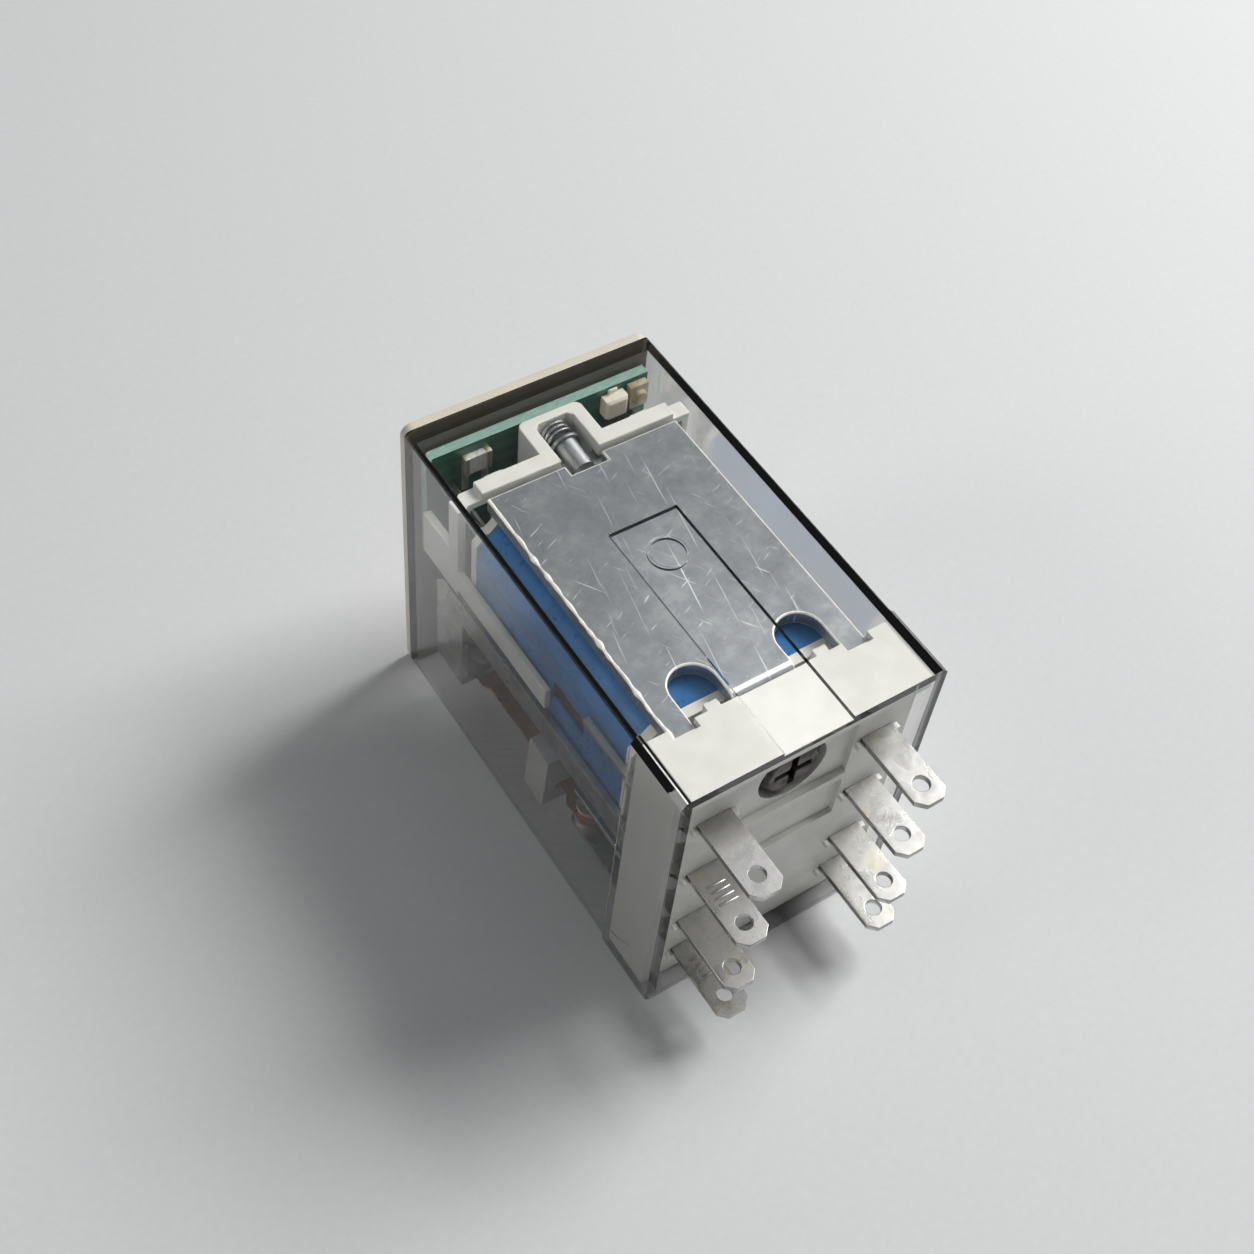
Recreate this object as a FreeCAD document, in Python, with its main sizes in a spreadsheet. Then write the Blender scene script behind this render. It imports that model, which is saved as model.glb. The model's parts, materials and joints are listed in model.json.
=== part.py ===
import FreeCAD, Part
import math
import os
import re

import Sketcher

# Plug-in relay with two changeover poles in a clear cover.
# It lies on the side that carries its contacts: x across, y from the open end of the cover to the
# closed one, z up. Every piece is drawn with y = 0 at the open end, and its Placement then brings the
# middle of the whole length to the origin.

os.makedirs("parts", exist_ok=True)
doc = FreeCAD.newDocument("relay")

# Sizes
# Every driving dimension in millimetres, angles in degrees.

SIZES = [
    ("cover_half", 10.2, "half the width of the cover"),
    ("cover_high", 26.7, "height of the cover"),
    ("cover_long", 34.85, "length of the cover"),
    ("cover_wall", 0.85, "walls of the cover at its top, bottom and end"),
    ("cover_side", 0.65, "side walls of the cover"),
    ("cover_round", 0.5, "rounding of the long edges of the cover"),
    ("skirt_step", 0.25, "how far the skirt stands out each side"),
    ("skirt_long", 5.64, "length of the skirt from the open end"),
    ("panel_half", 2.75, "half the width of the sunk panel"),
    ("panel_long", 20.15, "length of the sunk panel"),
    ("panel_deep", 0.4, "depth of the sunk panel"),
    ("ring_mid", 17.06, "gate ring from the open end"),
    ("ring_out", 1.45, "outer radius of the gate ring"),
    ("ring_wide", 0.2, "width of the gate ring's wall"),
    ("ring_high", 0.22, "height of the gate ring above the panel"),
    ("plate_thick", 0.75, "thickness of the end plate"),
    ("plate_round", 0.9, "corner radius of the end plate"),
    ("base_fit", 0.1, "gap between base and cover"),
    ("base_back", 5.3, "inner side of the base from the open end"),
    ("base_face", 1.0, "pin face of the base from the open end"),
    ("lip_front", 0.2, "front of the upper lip from the open end"),
    ("lip_high", 0.85, "height of the upper lip"),
    ("face_side", 0.15, "gap between the sunk middle of the pin face and the nibs"),
    ("face_sunk", 0.4, "depth of the sunk middle"),
    ("rib_high", 0.7, "height of that rib across its back"),
    ("rib_out", 0.12, "how far that rib stands out of the pin face"),
    ("strip_high", 0.45, "height of the strips below the lip"),
    ("strip_deep", 0.5, "how far those strips stand out"),
    ("nib_size", 0.45, "size of the nibs beside the blade roots"),
    ("wall_half", 0.45, "half the thickness of the wall between the poles"),
    ("bump_mid", 4.3, "bumps of the base from the middle"),
    ("bump_half", 0.5, "half the width of a bump"),
    ("bump_out", 0.55, "how far a bump stands out"),
    ("blade_half", 1.3, "half the width of a blade"),
    ("blade_thick", 0.5, "thickness of a blade"),
    ("blade_out", 5.4, "how far a blade stands out of the cover"),
    ("blade_cut", 0.65, "corner cut of a blade tip"),
    ("blade_hole", 0.6, "radius of the hole in a blade"),
    ("hole_back", 1.6, "hole in a blade from its tip"),
    ("blade_fit", 0.04, "gap between a blade and its slot"),
    ("side_thick", 0.5, "thickness of the strips along the sides"),
    ("leaf_thick", 0.25, "thickness of the moving springs"),
    ("leaf_half", 1.4, "half the width of a moving spring at its ends"),
    ("leaf_waist", 1.0, "half the width of a moving spring between its ends"),
    ("rivet_gap", 0.12, "play of a moving spring on its rivet"),
    ("rivet_shank", 0.55, "radius of the rivet shanks"),
    ("rivet_head", 1.1, "radius of the rivet heads"),
    ("rivet_high", 0.4, "height of the rivet heads"),
    ("button_r", 1.15, "radius of the fixed contacts"),
    ("button_shank", 0.6, "radius of the contact shanks"),
    ("button_tail", 0.9, "radius of the headed contact tails"),
    ("button_tail_high", 0.15, "height of the headed contact tails"),
    ("moving_r", 1.1, "radius of the moving contacts"),
    ("moving_half", 0.5, "half the height of the moving contacts"),
    ("contact_gap", 1.14, "open contact gap"),
    ("rest_gap", 0.02, "gap left at the closed contacts at rest"),
    ("yoke_thick", 1.2, "sheet of the yoke"),
    ("leg_tip", 4.7, "leg tips of the yoke from the open end"),
    ("notch_mid", 4.25, "notches of the yoke from the middle"),
    ("notch_r", 1.7, "radius of the notches"),
    ("notch_y", 7.6, "middle of the notches from the open end"),
    ("slot_half", 1.5, "half the width of the slot in the far edge"),
    ("slot_deep", 0.9, "depth of that slot"),
    ("tongue_wide", 4.0, "half the width of the bent tongue low down"),
    ("bend_round", 1.1, "outer radius of the yoke's bend"),
    ("pocket_fit", 0.12, "gap round a yoke leg in its pocket"),
    ("well_r", 2.75, "radius of the screw well"),
    ("well_end", 3.4, "bottom of the screw well from the open end"),
    ("head_r", 2.45, "radius of the screw head"),
    ("head_front", 1.35, "front of the screw head from the open end"),
    ("shank_r", 1.25, "radius of the screw shank"),
    ("shank_fit", 0.06, "gap round the screw shank"),
    ("cross_long", 1.5, "half the length of the cross slots"),
    ("cross_half", 0.28, "half the width of the cross slots"),
    ("cross_deep", 0.9, "depth of the cross slots"),
    ("core_r", 2.3, "radius of the core"),
    ("neck_r", 1.5, "radius of the core's riveted neck"),
    ("pole_r", 3.9, "radius of the pole"),
    ("pole_thick", 0.5, "thickness of the pole"),
    ("pole_gap", 0.05, "gap between pole and armature when pulled in"),
    ("spool_high", 6.65, "half the height of the spool's ends"),
    ("spool_near", 0.8, "thickness of the spool's near end"),
    ("spool_far", 0.7, "thickness of the spool's far end"),
    ("spool_wall", 0.8, "wall of the spool's tube"),
    ("spool_cut", 1.2, "corner cut of the spool's ends"),
    ("tape_thick", 0.3, "thickness of the tape"),
    ("tape_round", 2.2, "corner radius of the taped coil"),
    ("coil_play", 0.05, "gap between the coil and the spool's ends"),
    ("armature_open", 4.0, "how far the armature stands open, degrees"),
    ("armature_thick", 1.2, "sheet of the armature"),
    ("armature_down", 15.3, "knife edge to the underside of the armature"),
    ("armature_reach", 12.2, "knife edge to the tip of the armature"),
    ("shoulder", 0.1, "shoulders of the armature below the knife edge"),
    ("tail_half", 0.6, "half the width of the armature's tail"),
    ("pin_r", 0.85, "radius of the armature's pin"),
    ("pin_up", 0.2, "axis of the armature's pin above the knife edge"),
    ("pin_front", 0.3, "armature's pin before the knife edge"),
    ("pin_back", 2.45, "armature's pin past the knife edge"),
    ("collar_r", 1.15, "radius of the pin's collar"),
    ("collar_long", 0.3, "length of the pin's collar"),
    ("card_near", 13.0, "knife edge to the near face of the card"),
    ("card_far", 10.4, "knife edge to the far face of the card"),
    ("card_top", 13.65, "knife edge down to the top of the card"),
    ("card_bottom", 19.9, "knife edge down to the bottom of the card"),
    ("finger_mid", 17.9, "knife edge down to the middle of the card's slots"),
    ("finger_play", 0.3, "gap between a moving spring and its slot"),
    ("bridge_deep", 1.3, "depth of the bracket's bar"),
    ("bump_right", 6.3, "bumps on the bracket's bar from the middle"),
    ("u_half", 1.55, "half the width of the bracket's opening"),
    ("u_wall", 1.05, "wall beside the bracket's opening"),
    ("u_back", 0.7, "wall behind the bracket's opening"),
    ("u_bend", 0.4, "corner cut inside the bracket's opening"),
    ("u_round", 0.6, "corner radius outside the bracket's opening"),
    ("post_r", 0.65, "radius of the spring post"),
    ("post_in", 0.5, "how deep the post sits in the bracket"),
    ("coil_r", 1.0, "mean radius of the return spring"),
    ("coil_wire", 0.15, "radius of the return spring's wire"),
    ("coil_turns", 3, "turns of the return spring"),
    ("board_thick", 0.8, "thickness of the circuit board"),
    ("wire_r", 0.25, "radius of the board wires"),
    ("wire_out", 0.15, "how far the wires stand out behind the board"),
    ("chip_half", 1.05, "half the length of the resistor"),
    ("chip_thick", 0.55, "thickness of the resistor"),
    ("chip_cap", 0.35, "length of the resistor's end caps"),
    ("cap_out", 0.05, "how far the end caps stand out"),
    ("diode_thick", 1.0, "thickness of the diode"),
    ("diode_lead", 0.4, "length of the diode's leads"),
    ("diode_round", 0.2, "edge cut of the diode"),
    ("led_thick", 0.6, "thickness of the indicator's body"),
    ("led_lens", 0.6, "radius of the indicator's lens"),
    ("led_lens_high", 0.35, "height of the indicator's lens"),
    ("column_in", 2.95, "blade columns from the inside of the cover"),
    ("coil_row_down", 4.55, "coil blades below the yoke's upper face"),
    ("row_pitch", 6.35, "pitch of the coil, common and normally open rows"),
    ("near_pitch", 4.1, "pitch of the two contact rows"),
    ("side_gap", 0.15, "gap between the cover and what lies along its sides"),
    ("side_room", 0.1, "gap between the side strips and the spool"),
    ("widen_gap", 0.1, "gap between the base and the widened part of a blade"),
    ("widen_long", 1.0, "length of the widened part of a blade"),
    ("com_half", 1.2, "half the height of the common strips"),
    ("strip_back", 1.2, "strips of the fixed contacts past the contacts"),
    ("leaf_past", 1.4, "moving springs past the contacts"),
    ("leaf_lever", 15.5, "rivets of the moving springs from the contacts"),
    ("leaf_held", 1.3, "moving springs past their rivets"),
    ("leaf_up", 1.48, "moving springs above the normally closed row"),
    ("rivet_back", 0.95, "rivets of the moving springs past the knife edge"),
    ("tab_near", 1.4, "tab of a common strip before its rivet"),
    ("tab_far", 2.4, "tab of a common strip past its rivet"),
    ("yoke_side", 1.75, "gap between the cover and the sides of the yoke"),
    ("yoke_over", 0.55, "gap between the cover and the top of the yoke"),
    ("yoke_back", 6.4, "gap between the cover's end and the yoke"),
    ("edge_gap", 0.05, "gap between the yoke's far edge and the pulled-in armature"),
    ("coil_under", 0.25, "gap between the yoke and the spool"),
    ("tape_below", 0.05, "how far the tape lies below the spool's ends"),
    ("tongue_past", 3.8, "tongue below the coil's axis"),
    ("tongue_neck", 5.1, "where the tongue widens, above the coil's axis"),
    ("window_near", 15.45, "near edge of the opening in the tape before the knife edge"),
    ("window_far", 11.65, "far edge of the opening in the tape before the knife edge"),
    ("window_down", 0.4, "lower edge of the opening in the tape above the coil's axis"),
    ("window_up", 2.2, "upper edge of the opening in the tape above the coil's axis"),
    ("lead_gap", 0.7, "coil leads before the opening in the tape"),
    ("armature_side", 1.2, "armature inside the sides of the yoke"),
    ("card_side", 0.6, "gap between the cover and the card"),
    ("bridge_gap", 0.4, "gap between the yoke's far edge and the bracket"),
    ("bridge_over", 0.35, "gap between the cover and the top of the bracket"),
    ("bridge_lift", 0.2, "underside of the bracket's bar above the yoke's underside"),
    ("bridge_bar", 0.6, "height of the bracket's bar at its ends"),
    ("bridge_in", 1.45, "high bar inside the sides of the bracket"),
    ("u_deep", 4.8, "how far the opening's walls reach below the bar"),
    ("u_clear", 0.9, "opening's deep walls past the bar"),
    ("arm_down", 0.7, "underside of the bracket's arms below the coil's axis"),
    ("arm_up", 1.3, "top of the bracket's arms above the coil's axis"),
    ("leg_thick", 0.7, "thickness of the bracket's side legs"),
    ("block_gap", 0.3, "gap between the common strips and the side blocks"),
    ("block_tall", 4.1, "height of the side blocks"),
    ("post_gap", 0.45, "gap between the armature's pin and the post"),
    ("spring_gap", 0.1, "gap between the armature's pin and the return spring"),
    ("board_gap", 0.2, "gap between the board and the cover's end"),
    ("board_side", 0.5, "gap between the board and the cover's sides"),
    ("board_over", 1.05, "gap between the board and the cover's top"),
    ("board_tall", 9.8, "height of the circuit board"),
    ("part_room", 0.5, "room between the bracket and the board"),
    ("wire_side", 1.0, "board wires beside the armature"),
    ("wire_up", 4.3, "board wires above the coil's axis"),
    ("chip_in", 3.45, "resistor from the left edge of the board"),
    ("chip_down", 0.9, "resistor below the board's upper edge"),
    ("chip_tall", 1.6, "height of the resistor"),
    ("diode_gap", 0.35, "gap between diode and indicator"),
    ("diode_wide", 1.9, "width of the diode"),
    ("diode_down", 0.6, "diode below the board's upper edge"),
    ("diode_tall", 2.6, "height of the diode"),
    ("led_in", 0.25, "indicator from the right edge of the board"),
    ("led_wide", 1.6, "width of the indicator"),
    ("led_down", 0.4, "indicator below the board's upper edge"),
    ("led_tall", 2.2, "height of the indicator"),
    ("face_over", 1.45, "sunk middle below the top of the base"),
    ("face_under", 2.1, "sunk middle below the common row"),
    ("rib_up", 2.8, "rib above the common row"),
    ("strip_in", 0.4, "strips below the lip, inside the sides of the base"),
    ("wall_back", 0.3, "wall between the poles short of the fixed strips"),
    ("wall_down", 0.45, "wall between the poles below the normally open row"),
    ("head_dome", 0.5, "edge cut of the screw head"),
    ("rivet_cut", 0.33, "edge cut of the rivet heads"),
    ("strip_cut", 1.0, "corner cut of the common strips"),
    ("tongue_slope", 1.0, "slope on the sides of the tongue"),
    ("flat_left", 0.12, "straight part left outside the armature's bend"),
    ("card_web", 1.0, "card left beside its slots and under the armature"),
    ("post_cut", 0.22, "edge cut of the spring post"),
    ("cut_past", 1.0, "how far a cut runs past what it cuts"),
]

# Places that follow
# Each of these is worked out from the sizes above, so that what seats on another piece moves with it.

PLACES = {
    "inside_half": "cover_half - cover_side",
    "inside_top": "cover_high - cover_wall",
    "inside_end": "cover_long - cover_wall",
    "base_half": "inside_half - base_fit",
    "base_low": "cover_wall + base_fit",
    "base_high": "inside_top - base_fit",
    "column": "inside_half - column_in",
    "side_out": "inside_half - side_gap",
    "side_in": "side_out - side_thick",
    "spool_half": "side_in - side_room",
    "tape_half": "spool_half - tape_below",
    "tape_high": "spool_high - tape_below",
    "yoke_half": "inside_half - yoke_side",
    "yoke_top": "inside_top - yoke_over",
    "yoke_under": "yoke_top - yoke_thick",
    "yoke_far": "inside_end - yoke_back",
    "hinge_y": "yoke_far + edge_gap",
    "core_z": "yoke_under - coil_under - spool_high",
    "pole_face": "hinge_y - pole_gap",
    "spool_from": "base_back + yoke_thick",
    "spool_to": "pole_face - pole_thick",
    "coil_near": "spool_from + spool_near + coil_play",
    "coil_far": "spool_to - spool_far - coil_play",
    "coil_row": "yoke_top - coil_row_down",
    "com_row": "coil_row - row_pitch",
    "no_row": "com_row - row_pitch",
    "nc_row": "no_row - near_pitch",
    "screw_z": "coil_row",
    "com_low": "com_row - com_half",
    "com_high": "com_row + com_half",
    "wide_from": "base_back + widen_gap",
    "wide_to": "wide_from + widen_long",
    "rivet_y": "hinge_y + rivet_back",
    "contact_y": "rivet_y - leaf_lever",
    "fixed_end": "contact_y + strip_back",
    "leaf_z": "nc_row + leaf_up",
    "leaf_tip": "contact_y - leaf_past",
    "leaf_far": "rivet_y + leaf_held",
    "tail_from": "rivet_y - tab_near",
    "tail_to": "rivet_y + tab_far",
    "tab_low": "leaf_z + leaf_thick / 2 + rivet_gap",
    "tab_high": "tab_low + side_thick",
    "window_from": "hinge_y - window_near",
    "window_to": "hinge_y - window_far",
    "lead_end": "window_from - lead_gap",
    "armature_half": "yoke_half - armature_side",
    "card_half": "inside_half - card_side",
    "bridge_front": "yoke_far + bridge_gap",
    "bridge_back": "bridge_front + bridge_deep",
    "bridge_top": "inside_top - bridge_over",
    "bridge_low": "yoke_under + bridge_lift",
    "bridge_step": "bridge_low + bridge_bar",
    "bridge_half": "side_out - bridge_in",
    "board_y": "inside_end - board_gap - board_thick",
    "board_half": "inside_half - board_side",
    "board_high": "inside_top - board_over",
    "board_low": "board_high - board_tall",
    "u_end": "board_y - part_room - u_back",
    "u_out": "u_half + u_wall",
    "u_deep_from": "bridge_back + u_clear",
    "u_deep_low": "bridge_low - u_deep",
    "arm_end": "window_to",
    "arm_low": "core_z - arm_down",
    "arm_high": "core_z + arm_up",
    "leg_in": "side_out - leg_thick",
    "block_low": "com_high + block_gap",
    "block_high": "block_low + block_tall",
    "post_z": "yoke_under + pin_up",
    "pin_end": "hinge_y + pin_back",
    "post_from": "pin_end + post_gap",
    "coil_from": "pin_end + spring_gap + coil_wire",
    "wire_x": "armature_half + wire_side",
    "wire_z": "core_z + wire_up",
    "chip_mid": "board_half - chip_in",
    "chip_high": "board_high - chip_down",
    "chip_low": "chip_high - chip_tall",
    "led_to": "board_half - led_in",
    "led_from": "led_to - led_wide",
    "led_high": "board_high - led_down",
    "led_low": "led_high - led_tall",
    "diode_to": "led_from - diode_gap",
    "diode_from": "diode_to - diode_wide",
    "diode_high": "board_high - diode_down",
    "diode_low": "diode_high - diode_tall",
    "wall_end": "fixed_end - wall_back",
    "wall_top": "no_row - wall_down",
    "face_low": "com_row - face_under",
    "face_top": "base_high - face_over",
    "rib_mid": "com_row + rib_up",
    "blade_inner": "column - blade_half",
    "blade_outer": "column + blade_half",
    "face_half": "blade_inner - nib_size - face_side",
    "strip_out": "base_half - strip_in",
    "leg_inner": "notch_mid + notch_r",
    "tongue_half": "notch_mid - notch_r",
    "tongue_end": "core_z - tongue_past",
    "tongue_step": "core_z + tongue_neck",
    "tongue_low": "tongue_step - tongue_slope",
    "skirt_half": "cover_half + skirt_step",
    "skirt_in": "skirt_half - cover_round",
    "slot_half_high": "blade_thick / 2 + blade_fit",
    "head_flat": "head_r - head_dome",
    "rivet_flat": "rivet_head - rivet_cut",
    "no_under": "no_row - blade_thick / 2",
    "no_over": "no_row + blade_thick / 2",
    "nc_under": "nc_row - blade_thick / 2",
    "nc_over": "nc_row + blade_thick / 2",
    "head_under": "leaf_z - leaf_thick / 2 - rivet_gap",
    "wire_half": "tape_half - tape_thick",
    "wire_high": "tape_high - tape_thick",
    "bore_r": "core_r + coil_play",
    "tube_r": "bore_r + spool_wall",
    "angle_round": "armature_thick - flat_left",
    "armature_over": "armature_down - armature_thick",
    "card_open": "column - leaf_half - card_web",
    "finger_half": "leaf_thick / 2 + finger_play",
    "finger_low": "-finger_mid - finger_half",
    "finger_high": "-finger_mid + finger_half",
    "chip_out": "chip_half + cap_out",
    "chip_in_half": "chip_half - chip_cap",
    "cap_front": "board_y - chip_thick - cap_out",
    "diode_mid": "(diode_from + diode_to) / 2",
    "led_mid": "(led_from + led_to) / 2",
    "led_middle": "(led_low + led_high) / 2",
}

sheet = doc.addObject("Spreadsheet::Sheet", "Sizes")
for row, (alias, value, meaning) in enumerate(SIZES, start=1):
    sheet.set("A%d" % row, meaning)
    sheet.set("B%d" % row, str(value))
    sheet.setAlias("B%d" % row, alias)
for row, (alias, formula) in enumerate(PLACES.items(), start=1):
    sheet.setAlias("C%d" % row, alias)
for row, (alias, formula) in enumerate(PLACES.items(), start=1):
    sheet.set("C%d" % row, "=" + formula)
doc.recompute()
NAMES = {alias for alias, value, meaning in SIZES} | set(PLACES)

# Helpers
# An expression is written with plain names. bound() puts the sheet's name before each of them.

SHIFT = "-(cover_long + plate_thick - blade_out) / 2"
LOW, HIGH = "-", "+"
SIDES = ((LOW, "left"), (HIGH, "right"))
TOUCH = 0.01


def size(alias):
    return float(sheet.get(alias))


def bound(thing, prop, text):
    def with_sheet(word):
        return "Sizes." + word.group(0) if word.group(0) in NAMES else word.group(0)
    thing.setExpression(prop, re.sub("[a-z][a-z_]*", with_sheet, str(text)))


def minus(text):
    return "-(%s)" % text


def new_body(name, x="0", y="0", z="0", turn=None):
    """A body whose own origin stands at x, y, z of the relay, turned about x where turn is given."""
    body = doc.addObject("PartDesign::Body", name)
    body.Label = name
    if turn:
        body.Placement = FreeCAD.Placement(FreeCAD.Vector(0, 0, 0), FreeCAD.Vector(1, 0, 0), 1)
        bound(body, "Placement.Rotation.Angle", turn)
    bound(body, "Placement.Base.x", x)
    bound(body, "Placement.Base.y", "%s + %s" % (y, SHIFT))
    bound(body, "Placement.Base.z", z)
    return body


def origin_plane(body, role):
    return next(item for item in body.Origin.OriginFeatures if item.Role == role)


def new_sketch(body, name, plane, level):
    sketch = body.newObject("Sketcher::SketchObject", name)
    sketch.AttachmentSupport = [(origin_plane(body, plane), "")]
    sketch.MapMode = "FlatFace"
    bound(sketch, "AttachmentOffset.Base.z", level)
    return sketch


def place_point(sketch, line, end, across, up):
    for kind, text in (("DistanceX", across), ("DistanceY", up)):
        number = sketch.addConstraint(Sketcher.Constraint(kind, -1, 1, line, end, 1.0))
        bound(sketch, "Constraints[%d]" % number, text)


def draw_outline(sketch, corners):
    """A closed outline of straight lines, each corner held by the two expressions given."""
    start = FreeCAD.Vector(size("cover_long"), 0, 0)
    step = FreeCAD.Rotation(FreeCAD.Vector(0, 0, 1), 360.0 / len(corners))
    points = [start]
    for corner in corners[1:]:
        points.append(step.multVec(points[-1]))
    lines = []
    for point, following in zip(points, points[1:] + points[:1]):
        lines.append(sketch.addGeometry(Part.LineSegment(point, following), False))
    for line, following in zip(lines, lines[1:] + lines[:1]):
        sketch.addConstraint(Sketcher.Constraint("Coincident", line, 2, following, 1))
    for line, (across, up) in zip(lines, corners):
        place_point(sketch, line, 1, across, up)


def draw_circle(sketch, across, up, radius):
    start = FreeCAD.Vector(size("column"), size("column"), 0)
    circle = sketch.addGeometry(Part.Circle(start, FreeCAD.Vector(0, 0, 1), 1), False)
    place_point(sketch, circle, 3, across, up)
    number = sketch.addConstraint(Sketcher.Constraint("Radius", circle, 1.0))
    bound(sketch, "Constraints[%d]" % number, radius)


def filled_sketch(body, name, plane, level, corners, circles):
    sketch = new_sketch(body, name + "_sketch", plane, level)
    if corners:
        draw_outline(sketch, corners)
    for across, up, radius in circles:
        draw_circle(sketch, across, up, radius)
    return sketch


def pad(body, name, plane, level, length, corners=None, circles=(), opening=None):
    """Material from level to level + length along the plane's normal."""
    sketch = filled_sketch(body, name, plane, level, corners, circles)
    if opening:
        draw_outline(sketch, opening)
    feature = body.newObject("PartDesign::Pad", name)
    feature.Profile = sketch
    bound(feature, "Length", length)
    return feature


def pocket(body, name, plane, level, length, corners=None, circles=()):
    """The same reach as pad, taken away."""
    sketch = filled_sketch(body, name, plane, level, corners, circles)
    feature = body.newObject("PartDesign::Pocket", name)
    feature.Profile = sketch
    feature.Reversed = True
    bound(feature, "Length", length)
    return feature


def block(body, name, x_range, y_range, z_range, cut=False):
    kind = "PartDesign::SubtractiveBox" if cut else "PartDesign::AdditiveBox"
    feature = body.newObject(kind, name)
    for prop, axis, (low, high) in (("Length", "x", x_range), ("Width", "y", y_range),
                                    ("Height", "z", z_range)):
        bound(feature, prop, "(%s) - (%s)" % (high, low))
        bound(feature, "Placement.Base." + axis, low)
    return feature


def side_range(side, inner, outer):
    """The x range of something that lies between inner and outer on one side."""
    return (inner, outer) if side == HIGH else (minus(outer), minus(inner))


def rod_along_y(body, name, x, z, radius, y_range, cut=False):
    kind = "PartDesign::SubtractiveCylinder" if cut else "PartDesign::AdditiveCylinder"
    feature = body.newObject(kind, name)
    feature.Placement = FreeCAD.Placement(FreeCAD.Vector(0, 0, 0), FreeCAD.Vector(1, 0, 0), -90)
    bound(feature, "Radius", radius)
    bound(feature, "Height", "(%s) - (%s)" % (y_range[1], y_range[0]))
    bound(feature, "Placement.Base.x", x)
    bound(feature, "Placement.Base.y", y_range[0])
    bound(feature, "Placement.Base.z", z)
    return feature


def turned(body, name, axis_role, plane, corners):
    """A turned shape: corners are radius and place along the axis, in the order the plane wants."""
    sketch = new_sketch(body, name + "_sketch", plane, "0")
    draw_outline(sketch, corners)
    feature = body.newObject("PartDesign::Revolution", name)
    feature.Profile = sketch
    feature.ReferenceAxis = (origin_plane(body, axis_role), [""])
    feature.Angle = 360.0
    return feature


def edges_where(feature, test):
    doc.recompute()
    return ["Edge%d" % number for number, edge in enumerate(feature.Shape.Edges, start=1)
            if test(edge.BoundBox)]


def round_edges(body, name, feature, radius, test):
    names = edges_where(feature, test)
    if not names:
        raise RuntimeError("no edge found for " + name)
    result = body.newObject("PartDesign::Fillet", name)
    result.Base = (feature, names)
    bound(result, "Radius", radius)
    return result


def bevel_edges(body, name, feature, size, test):
    names = edges_where(feature, test)
    if not names:
        raise RuntimeError("no edge found for " + name)
    result = body.newObject("PartDesign::Chamfer", name)
    result.Base = (feature, names)
    bound(result, "Size", size)
    return result


def near(a, b):
    return abs(a - b) < TOUCH


def runs_along_y(box):
    return box.YLength > TOUCH and box.XLength < TOUCH and box.ZLength < TOUCH


# Cover and end plate
# The cover is one clear moulding, open at y = 0. The skirt is a small step outwards on both sides.

cover = new_body("cover")
cover_solid = pad(cover, "cover_box", "XZ_Plane", minus("cover_long"), "cover_long", [
    (minus("cover_half"), "0"), ("cover_half", "0"),
    ("cover_half", "cover_high"), (minus("cover_half"), "cover_high")])
round_edges(cover, "cover_edges", cover_solid, "cover_round", runs_along_y)
pad(cover, "skirt", "XZ_Plane", minus("skirt_long"), "skirt_long", [
    (minus("skirt_half"), "cover_round"), (minus("skirt_in"), "0"), ("skirt_in", "0"),
    ("skirt_half", "cover_round"), ("skirt_half", "cover_high - cover_round"), ("skirt_in", "cover_high"),
    (minus("skirt_in"), "cover_high"), (minus("skirt_half"), "cover_high - cover_round")])
block(cover, "room", (minus("inside_half"), "inside_half"), (minus("cut_past"), "inside_end"),
      ("cover_wall", "inside_top"), cut=True)
block(cover, "panel", (minus("panel_half"), "panel_half"), (minus("cut_past"), "panel_long"),
      ("cover_high - panel_deep", "cover_high + cut_past"), cut=True)
pad(cover, "gate_ring", "XY_Plane", "cover_high - panel_deep", "ring_high",
    circles=[("0", "ring_mid", "ring_out"), ("0", "ring_mid", "ring_out - ring_wide")])

end_plate = new_body("end_plate")
plate_solid = pad(end_plate, "plate", "XZ_Plane", minus("cover_long + plate_thick"), "plate_thick", [
    (minus("cover_half"), "0"), ("cover_half", "0"),
    ("cover_half", "cover_high"), (minus("cover_half"), "cover_high")])
round_edges(end_plate, "plate_corners", plate_solid, "plate_round", runs_along_y)

# Base
# One moulding: the pin face with its sunk middle, the screw well, the pockets for the yoke's legs,
# the blade slots and the wall that parts the two poles.

base = new_body("base")
block(base, "base_block", (minus("base_half"), "base_half"), ("base_face", "base_back"),
      ("base_low", "base_high"))
block(base, "lip", (minus("base_half"), "base_half"), ("lip_front", "base_face"),
      ("base_high - lip_high", "base_high"))
for side, word in SIDES:
    block(base, "strip_" + word, side_range(side, "face_half", "strip_out"),
          ("base_face - strip_deep", "base_face"),
          ("base_high - lip_high - strip_high", "base_high - lip_high"))
    block(base, "bump_" + word, side_range(side, "bump_mid - bump_half", "bump_mid + bump_half"),
          ("base_back", "base_back + bump_out"), ("yoke_under", "base_high"))
block(base, "pole_wall", (minus("wall_half"), "wall_half"), ("base_back", "wall_end"),
      ("base_low", "wall_top"))
block(base, "face_middle", (minus("face_half"), "face_half"),
      ("base_face - cut_past", "base_face + face_sunk"), ("face_low", "face_top"), cut=True)
block(base, "face_rib", (minus("face_half"), "face_half"), ("base_face - rib_out", "base_face + face_sunk"),
      ("rib_mid - rib_high / 2", "rib_mid + rib_high / 2"))
ROWS = ["coil_row", "com_row", "no_row", "nc_row"]
for side, word in SIDES:
    for row_name in ROWS:
        for place, inner, outer in (
                ("in", "blade_inner - nib_size", "blade_inner"),
                ("out", "blade_outer", "blade_outer + nib_size")):
            block(base, "nib_%s_%s_%s" % (row_name, word, place), side_range(side, inner, outer),
                  ("base_face - nib_size", "base_face"), (row_name + " - blade_thick", row_name))
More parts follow.
